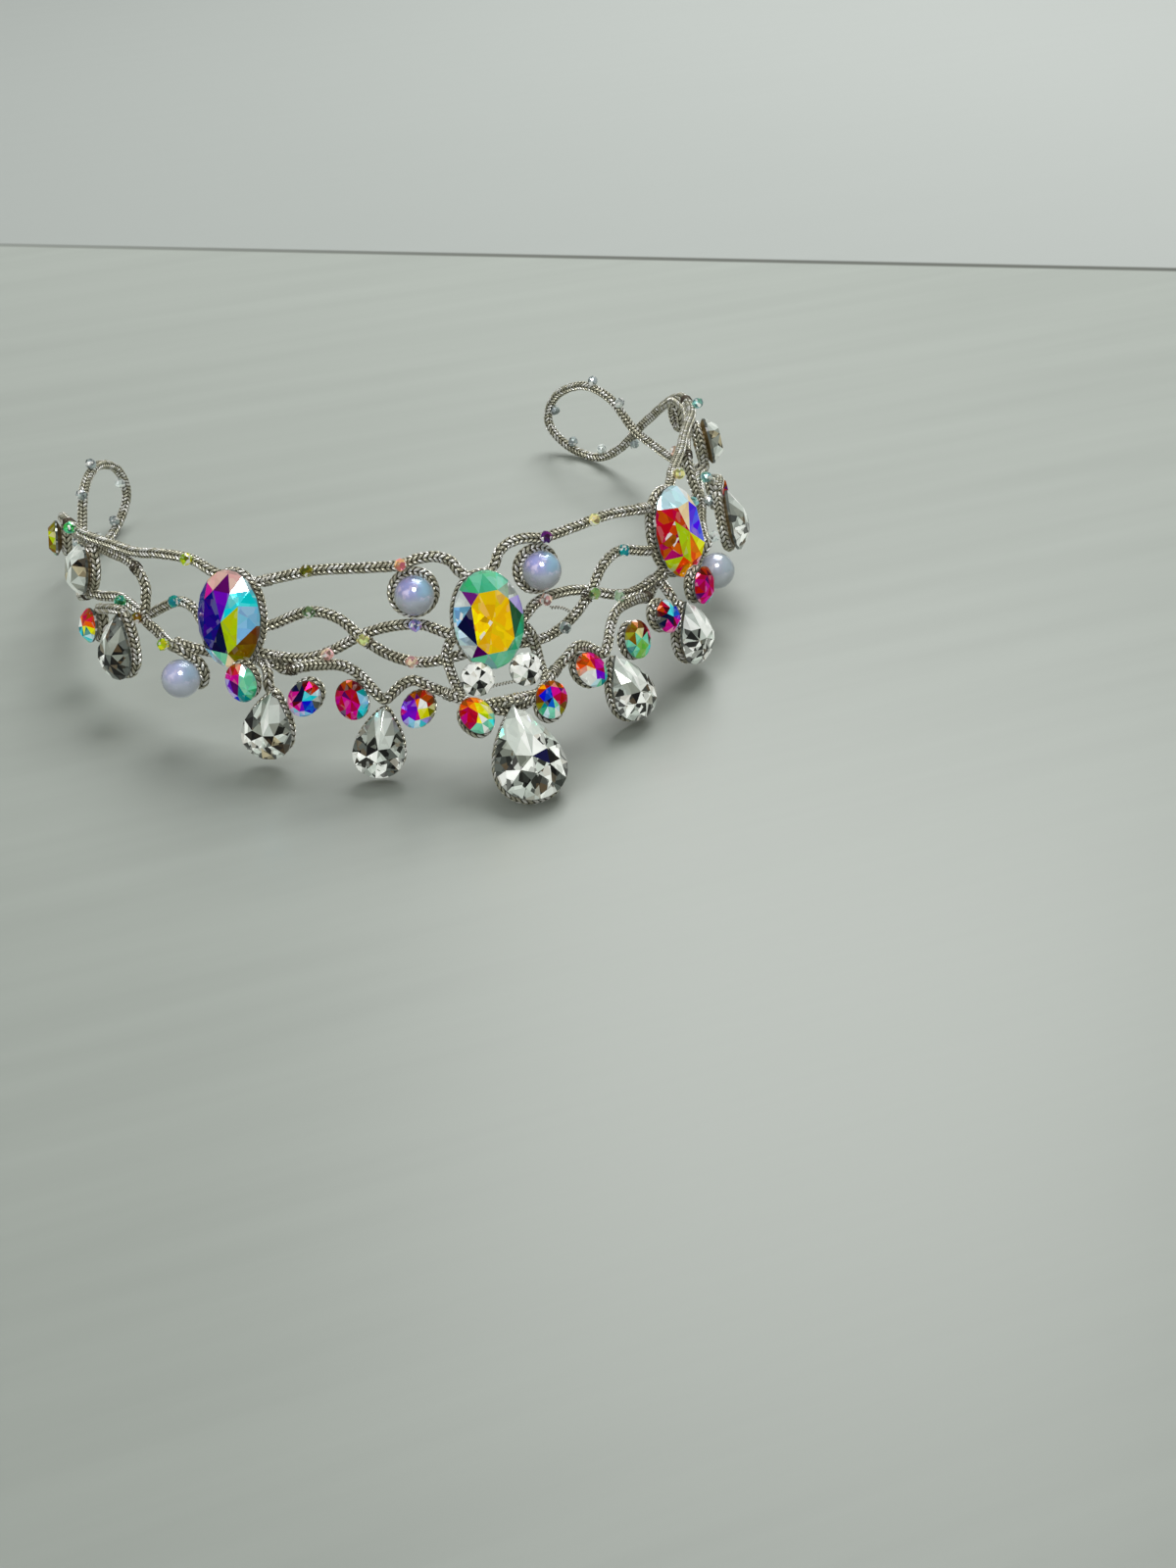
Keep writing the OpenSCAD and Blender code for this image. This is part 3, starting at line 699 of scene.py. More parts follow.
def tube(blank, path, reach, closed, chart=None, slot=0):
    """Surface round a path: at each point and angle, reach times the two side vectors' cosine and sine mix.

    An open tube is rounded at its ends by the half circle rule and closed with one face each.
    """
    rows, around = reach.shape
    u, v = carried(path, closed)
    a = np.arange(around) / around * 2 * np.pi
    if not closed:
        run = np.arange(rows) * np.linalg.norm(path[1] - path[0])
        rounding = reach.mean() * END_ROUNDING
        inset = np.clip(1 - np.minimum(run, run[-1] - run) / rounding, 0, END_INSET)
        reach = reach * np.sqrt(1 - inset**2)[:, None]
    side = np.cos(a)[None, :, None] * u[:, None, :] + np.sin(a)[None, :, None] * v[:, None, :]
    points = (path[:, None, :] + reach[:, :, None] * side).reshape(-1, 3)
    blank.add(points, wrap(rows, around, closed), chart, None, slot)
    if not closed:
        ring = np.arange(around)
        blank.more([ring[::-1], (rows - 1) * around + ring], slot=slot)


def braid(blank, path, closed=False):
    """Braided wire along a path.

    Round the wire lie columns of V stitches. With w the distance from a column's middle, from 0 to 1, and
    p the stitch count along the wire plus the slant times w, a stitch stands up by the parabola of p's
    fraction, and each leg of the V is arched across by the parabola of w.
    """
    wire = bpy.context.scene.tiara_wire
    around = COLUMN_POINTS * wire.columns
    rows = len(path)
    steps = rows if closed else rows - 1
    span = np.linalg.norm(np.diff(path, axis=0), axis=1).sum() * (rows / (rows - 1) if closed else 1)
    stitches = max(1, round(span * MM / wire.stitch))
    across = np.arange(around + 1) / around * wire.columns
    phase = np.arange(rows) / steps * stitches
    w = np.abs(2 * (across[:-1] % 1) - 1)[None, :]
    p = (phase[:, None] + wire.slant * w) % 1
    leg = 1 - LEG_ARCH + LEG_ARCH * np.sqrt(1 - (2 * w - 1) ** 2)
    stitch = (1 - (2 * p - 1) ** 2) ** STITCH_POWER * leg
    reach = wire.diameter / 2 / MM + STITCH_PROUD - wire.relief / MM * (1 - stitch)
    along = np.arange(steps + 1) * (stitches / steps)
    i, k = np.meshgrid(np.arange(steps), np.arange(around), indexing="ij")
    corners = ((i, k), (i, k + 1), (i + 1, k + 1), (i + 1, k))
    chart = np.stack([np.stack([along[row], across[column]], -1) for row, column in corners], 2)
    tube(blank, path, reach, closed, chart.reshape(-1, 4, 2))


def winding(blank, path, share, turns, slot, reach=None):
    """Fine wire wound round a path: a helix on its side vectors, its middle at a share of the length."""
    wire = bpy.context.scene.tiara_wire
    gauge = wire.gauge / MM
    reach = wire.diameter / 2 / MM + WINDING_PROUD * gauge if reach is None else reach
    u, v = carried(path, False)
    t = np.linspace(-0.5, 0.5, TURN_POINTS * turns + 1)
    at = share * (len(path) - 1) + t * turns * WINDING_PITCH * gauge / np.linalg.norm(path[1] - path[0])
    angle = (t * turns * 2 * np.pi)[:, None]
    spot, across, upright = (np.stack([np.interp(at, np.arange(len(path)), grid[:, k]) for k in range(3)], 1)
                             for grid in (path, u, v))
    line = spot + reach * (np.cos(angle) * across + np.sin(angle) * upright)
    tube(blank, line, np.full((len(line), FINE_POINTS), gauge / 2), False, slot=slot)


def lattice_lines(side):
    """Every open wire on one side of the lattice, by name; the side wire ends in a hook behind its pearl."""
    lines = {name: spline(route_points(route, side)) for name, route in LATTICE.items()}
    hook = []
    for angle in HOOK_ANGLES:
        c, s = turn(angle)
        reach = HOOK_REACH - HOOK_SHRINK * (angle - HOOK_ANGLES[0])
        behind = np.sqrt(HOOK_REST**2 - reach**2)
        hook.append(seat_point(PEARL_B, side, (reach * c, reach * s, -behind)))
    lines["side_wire"] = spline(np.vstack([route_points(SIDE_ROUTE, side), hook]))
    return lines


def ring_path(seat, outline, size):
    """Closed line behind a stone's outline, in the part's frame."""
    flat = outline(np.arange(360), (size[0] + 2 * RING_OUT, size[1] + 2 * RING_OUT))
    return evenly(seat.put(np.column_stack([flat, np.full(len(flat), -RING_BACK)])), True)


def facet_tones(words):
    """Colours of a row of facets, with how broken each is as alpha: a star sign means fully."""
    return np.array([(*display(word.rstrip("*"))[:3], 1.0 if word.endswith("*") else PLAIN_BROKEN)
                     for word in words.split()])


def jumped(points, faces, seed, base):
    """Plane coordinates of the faces' corners, each face moved by its own jump so no pattern runs on."""
    jump = STONE_JUMP * seed + FACET_JUMP * (base + np.arange(len(faces)))
    return points[faces][..., :2] + jump[:, None, None]


def facets(blank, seat, outline, size, cut, chart, seed):
    """Brilliant cut stone on a seat.

    The table's corners lie on the outline times its share, drawn out towards a rectangle on an oval by
    raising cosine and sine to powers below one. A star's tip lies part of the way from the middle of a
    table edge to the girdle, above the straight line between them. Between girdle corners the rim sinks
    to the plane of its facet, which scallops it. The back has 8 mains and 16 facets down to one point.
    """
    crown, girdle, depth, share, reach = cut
    rim = girdle / 2
    top = rim + crown
    tip = -rim - depth
    middle = np.array([0, DROP_MIDDLE * size[1] if outline is drop else 0])
    start = -EIGHTH / 2 if outline is drop else 0
    between = np.arange(8) * EIGHTH + start + EIGHTH / 2

    def ringed(angle, part, z):
        flat = middle + np.array(part) * (outline(angle, size) - middle)
        return np.column_stack([flat, np.broadcast_to(z, len(flat))])

    table = ringed(between, share, top)
    if outline is oval:
        c, s = turn(between)
        table[:, 0] = -size[0] / 2 * share[0] * np.sign(s) * np.abs(s) ** TABLE_POWERS[0]
        table[:, 1] = size[1] / 2 * share[1] * np.sign(c) * np.abs(c) ** TABLE_POWERS[1]
    upper = ringed(np.arange(32) * EIGHTH / 4 + start, 1, rim)
    edge = (table + np.roll(table, 1, 0)) / 2
    stars = edge + reach * (upper[::4] - edge)
    stars[:, 2] = top - crown * reach**STAR_POWER
    lower = upper * (1, 1, -1)
    odd = np.arange(16) * 2 + 1
    s, a, b = stars[(odd + 1) // 4 % 8], upper[odd - 1], upper[(odd + 1) % 32]
    n = np.cross(a - s, b - s)
    upper[odd, 2] = s[:, 2] - (n[:, :2] * (upper[odd, :2] - s[:, :2])).sum(1) / n[:, 2]
    inner = ringed(between, BACK_SHARE, tip + depth * BACK_SHARE * turn(EIGHTH / 2)[0])
    points = np.vstack([[*middle, top], table, stars, upper, lower, inner, [*middle, tip]])

    # Numbers of those points, by their place in a ring
    k = np.arange(8)
    corner, star, back, last = 1 + k, 9 + k, 81 + k, np.full(8, 89)

    def over(j):
        return 17 + j % 32

    def under(j):
        return 49 + j % 32

    wedges = np.stack([np.zeros(8, int), corner[k - 1], corner], 1)
    star_faces = np.stack([corner[k - 1], star, corner], 1)
    kites = np.stack([np.stack([corner, star, over(4 * k + 2)], 1),
                      np.stack([corner, over(4 * k + 2), np.roll(star, -1)], 1)], 1)
    left = np.stack([star, over(4 * k), over(4 * k + 1), over(4 * k + 2)], 1)
    right = np.stack([star, over(4 * k - 2), over(4 * k - 1), over(4 * k)], 1)
    j = np.arange(32)
    band = np.stack([under(j), under(j + 1), over(j + 1), over(j)], 1)
    mains = np.stack([last, back, under(4 * k), back[k - 1]], 1)
    back_left = np.stack([back, under(4 * k + 2), under(4 * k + 1), under(4 * k)], 1)
    back_right = np.stack([back, under(4 * k + 4), under(4 * k + 3), under(4 * k + 2)], 1)

    table_tones, star_tones, kite_tones = (facet_tones(words) for words in chart)
    # Painted shade: a dark tone mixed into the facets at the rim and laid on the girdle band
    painted_rim_shade = np.array(display("slate")[:3] + (PAINTED_RIM_SHADE_BROKEN,))
    rims = np.vstack([kite_tones[2 * k], kite_tones[2 * k - 1]])
    rims = (1 - PAINTED_RIM_SHADE_SHARE) * rims + PAINTED_RIM_SHADE_SHARE * painted_rim_shade
    tris = np.vstack([wedges, star_faces, kites.reshape(-1, 3)])
    quads = np.vstack([left, right, band])
    quad_tones = np.vstack([rims, np.tile(painted_rim_shade, (32, 1))])
    blank.add(seat.put(points), tris, jumped(points, tris, seed, 0),
              np.vstack([table_tones, star_tones, kite_tones]), 0, False)
    blank.more(quads, jumped(points, quads, seed, RIM_FIRST), quad_tones, 0, False)
    blank.more(np.vstack([mains, back_left, back_right]), None, None, 1, False)


class Knob:
    """A shader socket: + - * and ** on it add Math nodes."""

    def __init__(self, recipe, socket):
        self.recipe = recipe
        self.socket = socket

    def math(self, operation, first, second=0.0):
        return self.recipe.node("ShaderNodeMath", {"operation": operation}, {0: first, 1: second})

    def __add__(self, other):
        return self.math("ADD", self, other)

    def __radd__(self, other):
        return self.math("ADD", other, self)

    def __sub__(self, other):
        return self.math("SUBTRACT", self, other)

    def __rsub__(self, other):
        return self.math("SUBTRACT", other, self)

    def __mul__(self, other):
        return self.math("MULTIPLY", self, other)

    def __rmul__(self, other):
        return self.math("MULTIPLY", other, self)

    def __pow__(self, other):
        return self.math("POWER", self, other)

    def fraction(self):
        return self.math("FRACT", self)

    def whole(self):
        return self.math("FLOOR", self)

    def size(self):
        return self.math("ABSOLUTE", self)

    def wave(self):
        return self.math("SINE", self)

    def band(self, low, high):
        """0 below low and 1 above high, smooth between."""
        return self.recipe.node("ShaderNodeMapRange", {"interpolation_type": "SMOOTHSTEP"},
                                {"Value": self, "From Min": low, "From Max": high})


class Recipe:
    """A material under construction."""

    def __init__(self, name):
        self.material = bpy.data.materials.new(name)
        self.material.use_nodes = True
        self.tree = self.material.node_tree
        self.tree.nodes.clear()

    def node(self, kind, settings=None, inputs=None, out=0):
        """Adds a node: its settings first, with a ramp's stops, then the values or links of its sockets."""
        node = self.tree.nodes.new(kind)
        for key, value in (settings or {}).items():
            if key == "stops":
                ramp = node.color_ramp.elements
                while len(ramp) < len(value):
                    ramp.new(1.0)
                for stop, (place, colour) in zip(ramp, value):
                    stop.position = place
                    stop.color = colour
            else:
                setattr(node, key, value)
        for key, value in (inputs or {}).items():
            if isinstance(value, Knob):
                self.tree.links.new(value.socket, node.inputs[key])
            else:
                node.inputs[key].default_value = value
        return Knob(self, node.outputs[out]) if len(node.outputs) else None

    def mix(self, factor, first, second, blend="MIX"):
        """Colour between two colours."""
        return self.node("ShaderNodeMix", {"data_type": "RGBA", "blend_type": blend},
                         {0: factor, 6: first, 7: second}, 2)

    def vector(self, operation, first, second=(0, 0, 0)):
        return self.node("ShaderNodeVectorMath", {"operation": operation}, {0: first, 1: second})

    def scaled(self, vector, amount):
        return self.node("ShaderNodeVectorMath", {"operation": "SCALE"}, {0: vector, "Scale": amount})

    def parts(self, vector):
        """The three parts of a vector."""
        node = self.tree.nodes.new("ShaderNodeSeparateXYZ")
        self.tree.links.new(vector.socket, node.inputs[0])
        return [Knob(self, s) for s in node.outputs]

    def chart(self):
        return self.node("ShaderNodeUVMap", {"uv_map": "chart"})

    def place(self):
        return self.node("ShaderNodeTexCoord", out="Object")

    def tint(self, out="Color"):
        return self.node("ShaderNodeAttribute", {"attribute_name": "tint"}, out=out)

    def noise(self, vector, scale, detail):
        return self.node("ShaderNodeTexNoise", None,
                         {"Vector": vector, "Scale": scale, "Detail": detail}, "Fac")

    def shards(self, vector, scale, dimensions="2D"):
        """A colour by chance for each shard of a broken surface."""
        return self.node("ShaderNodeTexVoronoi", {"voronoi_dimensions": dimensions},
                         {"Vector": vector, "Scale": scale}, "Color")

    def bump(self, height, strength, distance):
        return self.node("ShaderNodeBump", None,
                         {"Height": height, "Strength": strength, "Distance": distance})

    def finish(self, **inputs):
        """Principled shader with these sockets, as the surface."""
        names = {k.replace("_", " "): v for k, v in inputs.items()}
        shader = self.node("ShaderNodeBsdfPrincipled", None, names)
        self.node("ShaderNodeOutputMaterial", None, {"Surface": shader})
        return self.material


def braided_thread(wire):
    """Crinkled silver-champagne thread: bright on the stitches, painted shade in the gaps, painted glints on
    some stitches and a faint painted glow; no two stitches alike.
    """
    r = Recipe("braided_silver_thread")
    along, across, _ = r.parts(r.chart())
    w = (across.fraction() * 2 - 1).size()
    run = along + wire.slant * w
    p = run.fraction()
    ridge = 1 - (2 * p - 1) ** 2
    leg = 1 - (2 * w - 1) ** 2
    height = (ridge ** 0.7) * (0.25 + 0.75 * leg ** 0.5)
    cell = r.node("ShaderNodeCombineXYZ", None, {0: run.whole(), 1: (across * 2).whole()})
    luck = r.node("ShaderNodeTexWhiteNoise", None, {"Vector": cell}, "Value")
    threads = ((p * 4 + w * 2.5) * FULL_TURN).wave() * 0.5 + 0.5
    # Stitch tops against the gaps: below the tops the colour is painted shade
    lit = height.band(0.44, 0.72)
    silver = r.mix(luck, shaded(wire.silver, 0.46), shaded(wire.silver, 1))
    # Painted glints: some stitches turn nearly white
    silver = r.mix(luck.band(0.56, 0.64), silver, PAINTED_STITCH_GLINT)
    warm = r.mix(r.noise(r.place(), 140.0, 2.0) * 0.3, silver, CHAMPAGNE)
    colour = r.mix(lit, shaded(wire.gap, 1), warm)
    relief = height + threads * 0.16 * height
    # The faint emission is a painted glow
    return r.finish(Base_Color=colour, Metallic=0.50, Roughness=0.62 - 0.38 * lit, Specular_IOR_Level=0.3,
                    Normal=r.bump(relief, 0.9, 0.0005), Emission_Color=colour, Emission_Strength=0.07)


def fine_metal(name, colour, roughness):
    """Fine drawn wire with faint draw marks along it."""
    r = Recipe(name)
    marks = r.noise(r.place(), 900.0, 2.0)
    return r.finish(Base_Color=r.mix(marks, shaded(colour, 0.6), shaded(colour, 1)), Metallic=0.9,
                    Roughness=marks * 0.2 + roughness, Normal=r.bump(marks, 0.15, 0.0001))


def cut_glass(name, stones, clear):
    """Coated cut glass: the facet's painted colours and reflections broken into shards, each tilted its own
    way, with painted light and dark and a painted glow.
    """
    r = Recipe(name)
    spot = r.scaled(r.chart(), (0.9 if clear else 1.0) * MM / stones.shard)
    tint = r.tint()
    cell = r.shards(spot, 1.0)
    small = r.shards(r.vector("MULTIPLY", spot, (1.0, 0.6, 1.0)), 1.8)
    a, b, c = r.parts(cell)
    d, e, f = r.parts(small)
    broken = r.tint("Alpha")
    centre = r.vector("SUBTRACT", r.mix(0.45, cell, small), (0.5, 0.5, 0.5))
    tilted = r.vector("ADD", r.node("ShaderNodeNewGeometry", out="Normal"),
                      r.scaled(centre, broken * stones.tilt))
    normal = r.vector("NORMALIZE", tilted)
    if clear:
        # Clear glass: painted reflections from black to brighter than white, then painted brown glints
        light = r.node("ShaderNodeValToRGB", {"stops": PAINTED_GLASS_REFLECTIONS}, {0: a * 0.55 + d * 0.45})
        colour = r.mix(1.0, tint, r.mix(broken, (1, 1, 1, 1), light), "MULTIPLY")
        brown = (b * 0.6 + e * 0.4).band(0.70, 0.76)
        colour = r.mix(brown * broken * 0.4, colour, BROWN_GLINT)
    else:
        # Rainbow glass: painted light and dark from shard to shard, then painted white glints along streaks
        value = 1.0 + (a - 0.5) * (0.20 + 0.65 * broken) + (d - 0.5) * 0.35 * broken
        shifted = r.node("ShaderNodeHueSaturation", None,
                         {"Hue": 0.5 + (b - 0.5) * (0.03 + 0.07 * broken), "Saturation": 1.2 - 0.2 * c,
                          "Value": value, "Color": tint})
        grain_and_glint_streak = (f * c).band(0.55, 0.66) * broken * 0.85
        colour = r.mix(grain_and_glint_streak, shifted, PAINTED_WHITE_GLINT)
    # The emission set by the glass's settings is a painted glow
    return r.finish(Base_Color=colour, Roughness=0.06 + 0.08 * e, Normal=normal, Coat_Roughness=0.02,
                    Coat_IOR=1.55, Emission_Color=colour, **(CLEAR_GLASS if clear else RAINBOW_GLASS))


def foil_back(stones):
    """Bronze foil on the back of a stone, mottled and lightly ridged."""
    r = Recipe("foil_back")
    cloud = r.noise(r.place(), 420.0, 4.0)
    colour = r.mix(cloud, shaded(stones.foil, 0.35), shaded(stones.foil, 1.5))
    return r.finish(Base_Color=colour, Metallic=0.85, Roughness=0.22 + cloud * 0.25,
                    Normal=r.bump(cloud, 0.25, 0.0003))


def ball(blank, centre, radius, slot):
    """Ball: latitude rings of radius times cosine at height times sine, closed by one point at each pole."""
    rings = BALL_ROWS - 1
    c, s = turn(np.linspace(-90, 90, BALL_ROWS + 1)[1:-1])
    ca, sa = turn(np.arange(BALL_AROUND) * 360 / BALL_AROUND)
    grid = np.stack([c[:, None] * ca, c[:, None] * sa, np.broadcast_to(s[:, None], (rings, BALL_AROUND))], -1)
    points = centre + radius * np.vstack([grid.reshape(-1, 3), [[0, 0, -1], [0, 0, 1]]])
    k = np.arange(BALL_AROUND)
    m = (k + 1) % BALL_AROUND
    south = np.full(BALL_AROUND, rings * BALL_AROUND)
    last = (rings - 1) * BALL_AROUND
    caps = np.vstack([np.stack([south, m, k], 1), np.stack([south + 1, last + k, last + m], 1)])
    blank.add(points, wrap(rings, BALL_AROUND, False), slot=slot)
    blank.more(caps, slot=slot)


def pearl_core(name, centre, milky, milk):
    """Nacre core: violet blue above, a painted teal glint to the right, painted light turning it clear grey
    below, a painted pink sheen and a faint painted glow.
    """
    r = Recipe(name)
    spot = r.scaled(r.vector("SUBTRACT", r.place(), tuple(centre)), 1 / 0.004)
    x, y, z = r.parts(spot)
    cloud = r.noise(spot, 1.3, 3.0)
    # Painted light: blue above fading to grey below, and a painted teal glint to the right
    up = (z + (cloud - 0.5) * 0.9).band(-0.15, 0.75)
    across = (x + (cloud - 0.5) * 1.2).band(-0.7, 0.7)
    high = r.mix(across, NACRE_BLUE, PAINTED_TEAL_GLINT)
    colour = r.mix(up, PAINTED_GREY_BELOW, high)
    # Painted sheen: pink patches on the core
    painted_sheen = r.noise(r.vector("ADD", spot, (3.1, 0.4, 7.7)), 2.1, 2.0).band(0.54, 0.72)
    colour = r.mix(painted_sheen * 0.6, colour, PAINTED_PINK_SHEEN)
    colour = r.mix(milky, colour, shaded(milk, 1))
    # The faint emission is a painted glow
    return r.finish(Base_Color=colour, Metallic=0.15, Roughness=0.16 + cloud * 0.1, Coat_Weight=1.0,
                    Coat_Roughness=0.04, Emission_Color=colour, Emission_Strength=0.08)


def pearl_coat():
    """Clear glass coat of the pearls, faintly clouded."""
    r = Recipe("pearl_glass_coat")
    cloud = r.noise(r.place(), 260.0, 3.0)
    colour = r.mix(cloud, COAT_CLOUD, COAT_CLEAR)
    return r.finish(Base_Color=colour, Roughness=0.03 + cloud * 0.04, Transmission_Weight=0.92, IOR=1.16,
                    Coat_Weight=1.0, Coat_Roughness=0.03, Coat_IOR=1.6)


def bead_glass():
    """Coated faceted bead glass: the bead's colour with painted light and dark from facet to facet, painted
    glints and a painted glow.
    """
    r = Recipe("accent_bead_glass")
    cloud = r.noise(r.place(), 700.0, 1.0)
    a, b, _ = r.parts(r.shards(r.place(), 900.0, "3D"))
    # Painted light and dark from cell to cell over the bead's colour
    colour = r.node("ShaderNodeHueSaturation", None,
                    {"Hue": 0.5 + (b - 0.5) * 0.12, "Saturation": 1.15, "Value": 0.28 + 1.5 * a,
                     "Color": r.tint()})
    # Painted glints: near-white spots where the noise is high
    colour = r.mix(cloud.band(0.58, 0.63) * 0.9, colour, BEAD_GLINT)
    # The emission is a painted glow
    return r.finish(Base_Color=colour, Metallic=0.50, Roughness=0.08, Specular_IOR_Level=0.3,
                    Coat_Weight=0.5, Coat_Roughness=0.02, Emission_Color=colour, Emission_Strength=0.18)


class TIARA_OT_camera(bpy.types.Operator):
    """Set the camera to the photograph's place and angle"""

    bl_idname = "tiara.camera"
    bl_label = "Camera"

    def execute(self, context):
        (cp, sp), (cy, sy), (cr, sr) = turn(CAMERA_DOWN), turn(CAMERA_RIGHT), turn(CAMERA_ROLL)
        ahead = np.array([sy * cp, cy * cp, -sp])
        right = np.array([cy, -sy, 0])
        down = np.cross(ahead, right)
        rows = [right * cr + down * sr, right * sr - down * cr, -ahead]
        data = bpy.data.cameras.new("photo_camera")
        data.lens = CAMERA_LENS
        data.sensor_width = CAMERA_SENSOR
        data.clip_start = 0.01
        camera = bpy.data.objects.new("photo_camera", data)
        matrix = Matrix([list(r) for r in np.array(rows).T]).to_4x4()
        matrix.translation = Vector(CAMERA_PLACE)
        camera.matrix_world = matrix
        context.scene.collection.objects.link(camera)
        context.scene.camera = camera
        return {"FINISHED"}


class TIARA_OT_stage(bpy.types.Operator):
    """Build the satin table and the soft lights"""

    bl_idname = "tiara.stage"
    bl_label = "Table and lights"

    def execute(self, context):
        stage = context.scene.tiara_stage
        r = Recipe("satin_table")
        spot = r.place()
        x, y, _ = r.parts(spot)
        # Beyond the back line the top is painted as a backdrop, lighter towards the right as painted light;
        # along the line runs a painted shadow line that fades out to the left
        far = x * BACK_LINE[0] + y * BACK_LINE[1] - BACK_LINE[2]
        edge = far.band(-0.001, 0.001)
        gap = 1 - far.size().band(0.0006, 0.0030)
        grain_and_glint_streak = r.noise(r.vector("MULTIPLY", spot, (4.0, 70.0, 1.0)), 1.4, 5.0)
        table = r.mix(grain_and_glint_streak, shaded(stage.table, 0.92), shaded(stage.table, 1.08))
        backdrop_painted_light = r.mix(x.band(0.0, 0.7), shaded(stage.table, 1.03, 1.02, 1.06),
                      shaded(stage.table, 1.24, 1.21, 1.27))
        colour = r.mix(edge, table, backdrop_painted_light)
        colour = r.mix(gap * x.band(-0.35, 0.20), colour, PAINTED_SHADOW_LINE)
        finish = r.finish(Base_Color=colour, Roughness=0.30 + grain_and_glint_streak * 0.10, Specular_IOR_Level=0.35,
                          Normal=r.bump(grain_and_glint_streak, 0.05, 0.001))
        mesh = bpy.data.meshes.new("table_top")
        corners = [(TABLE_REACH * x, TABLE_REACH * y, 0) for x, y in ((-1, -1), (1, -1), (1, 1), (-1, 1))]
        mesh.from_pydata(corners, [], [(0, 1, 2, 3)])
        mesh.materials.append(finish)
        top = bpy.data.objects.new("table_top", mesh)
        context.scene.collection.objects.link(top)
        for name, (power, place, aim, size) in LIGHTS.items():
            light = bpy.data.lights.new(name, "AREA")
            light.shape = "SQUARE"
            light.size = size
            light.energy = getattr(stage, power)
            lamp = bpy.data.objects.new(name, light)
            lamp.location = place
            lamp.visible_diffuse = name != "window"
            lamp.rotation_euler = (Vector(aim) - Vector(place)).to_track_quat("-Z", "Y").to_euler()
            context.scene.collection.objects.link(lamp)
        world = bpy.data.worlds.new("soft_room")
        world.use_nodes = True
        sky = world.node_tree.nodes["Background"]
        sky.inputs["Color"].default_value = ROOM_LIGHT
        sky.inputs["Strength"].default_value = ROOM_STRENGTH
        context.scene.world = world
        context.scene.view_settings.view_transform = "Standard"
        return {"FINISHED"}


def wire_piece(node, lines, rings, windings=(), links=()):
    """One piece for a packed wire node: open lines, closed rings, windings on the first line, thin links."""
    blank = Blank()
    for line in lines:
        braid(blank, line)
    for ring in rings:
        braid(blank, ring, True)
    for share, turns, slot in windings:
        winding(blank, lines[0], share, turns, slot)
    for link in links:
        winding(blank, link, 0.5, max(2, int(len(link) * LINK_TURNS)), 1, LINK_REACH)
    finishes = [bpy.data.materials[n] for n in ("braided_silver_thread", "fine_wire", "dark_thread")]
    return blank.piece(f"braid_{node}", finishes, [node], "braided_wire")


class TIARA_OT_lattice(bpy.types.Operator):
    """Build the braided wires of the lattice and the end loops"""

    bl_idname = "tiara.lattice"
    bl_label = "Lattice wires"

    def execute(self, context):
        braided_thread(context.scene.tiara_wire)
        fine_metal("fine_wire", FINE_WIRE, 0.34)
        fine_metal("dark_thread", DARK_THREAD, 0.45)
        for name, side in SIDES.items():
            rings = {"end_loop": [ring_path(Seat(SMALL_D, side), oval, SMALL),
                                  ring_path(Seat(BACK_OVAL, side), oval, BACK)]}
            loops = {"wave_rise": [spline(route_points(THREAD_LOOP, side))] if side > 0 else []}
            strands = {"end_loop": [spline(route_points(BUNDLE_ROUTE, side))]}
            for wire_name, line in lattice_lines(side).items():
                wire_piece(f"{wire_name}_{name}", [line, *strands.get(wire_name, [])],
                           rings.get(wire_name, []), WINDINGS[wire_name], loops.get(wire_name, []))
        return {"FINISHED"}


class TIARA_OT_rings(bpy.types.Operator):
    """Build the braided rings behind the stones and pearls"""

    bl_idname = "tiara.rings"
    bl_label = "Rings"

    def execute(self, context):
        lines = []
        for side in SIDES.values():
            start = seat_point(CENTRE_OVAL, side, (LARGE[0] / 2, -3, -RING_BACK))
            lines.append(spline(np.vstack([[start], route_points(OVAL_SIDE_ROUTE, side)])))
        link = spline(np.array([seat_point(CHATON, side, LINK_END) for side in SIDES.values()]))
        wire_piece("centre_ring", lines, [ring_path(Seat(CENTRE_OVAL, 1), oval, LARGE)], [], [link])
        pear = Seat(CENTRE_PEAR, 1)
        rings = [ring_path(pear, drop, LARGE)]
        rings += [ring_path(Seat(CENTRE_PEAR, side, BESIDE_LARGE), oval, SMALL) for side in SIDES.values()]
        wire_piece("centre_setting", [spline(pear.put(TIP_STRAND))], rings, [(0.5, 5, 1)])
        for name, side in SIDES.items():
            wire_piece(f"oval_ring_{name}", [], [ring_path(Seat(SIDE_OVAL[name], side), oval, LARGE)])
            for group, routes in (("a", []), ("b", [TIP_ROUTE])):
                seat = PEARS[group][name]
                rings = [ring_path(Seat(seat, side), drop, PEAR)]
                rings += [ring_path(Seat(seat, side, BESIDE_PEAR, hand), oval, SMALL) for hand in (-1, 1)]
                lines = [spline(route_points(route, side)) for route in routes]
                wire_piece(f"setting_{group}_{name}", lines, rings)
            rings = [ring_path(Seat(PEARS["c"][name], side), drop, PEAR),
                     ring_path(Seat(SMALL_C, side), oval, SMALL)]
            wire_piece(f"setting_c_{name}", [spline(route_points(C_ROUTE, side))], rings)
            reach = 2 * (PEARL_R + PEARL_OUT)
            flat = oval(np.arange(0, 360, 2), (reach, reach))
            ring = Seat(PEARL_A, side).put(np.column_stack([flat, np.full(len(flat), -PEARL_BACK)]))
            wire_piece(f"pearl_ring_{name}", [], [evenly(ring, True)])
        return {"FINISHED"}


def stone_piece(node, seat, outline, size, cut, chart, clear, seed):
    """One cut stone for a packed stone node."""
    blank = Blank()
    facets(blank, seat, outline, size, cut, CHARTS[chart], seed)
    glass = bpy.data.materials["clear_cut_glass" if clear else "rainbow_cut_glass"]
    return blank.piece(f"cut_{node}", [glass, bpy.data.materials["foil_back"]], [node],
                       "clear_stone" if clear else "shimmer_stone")


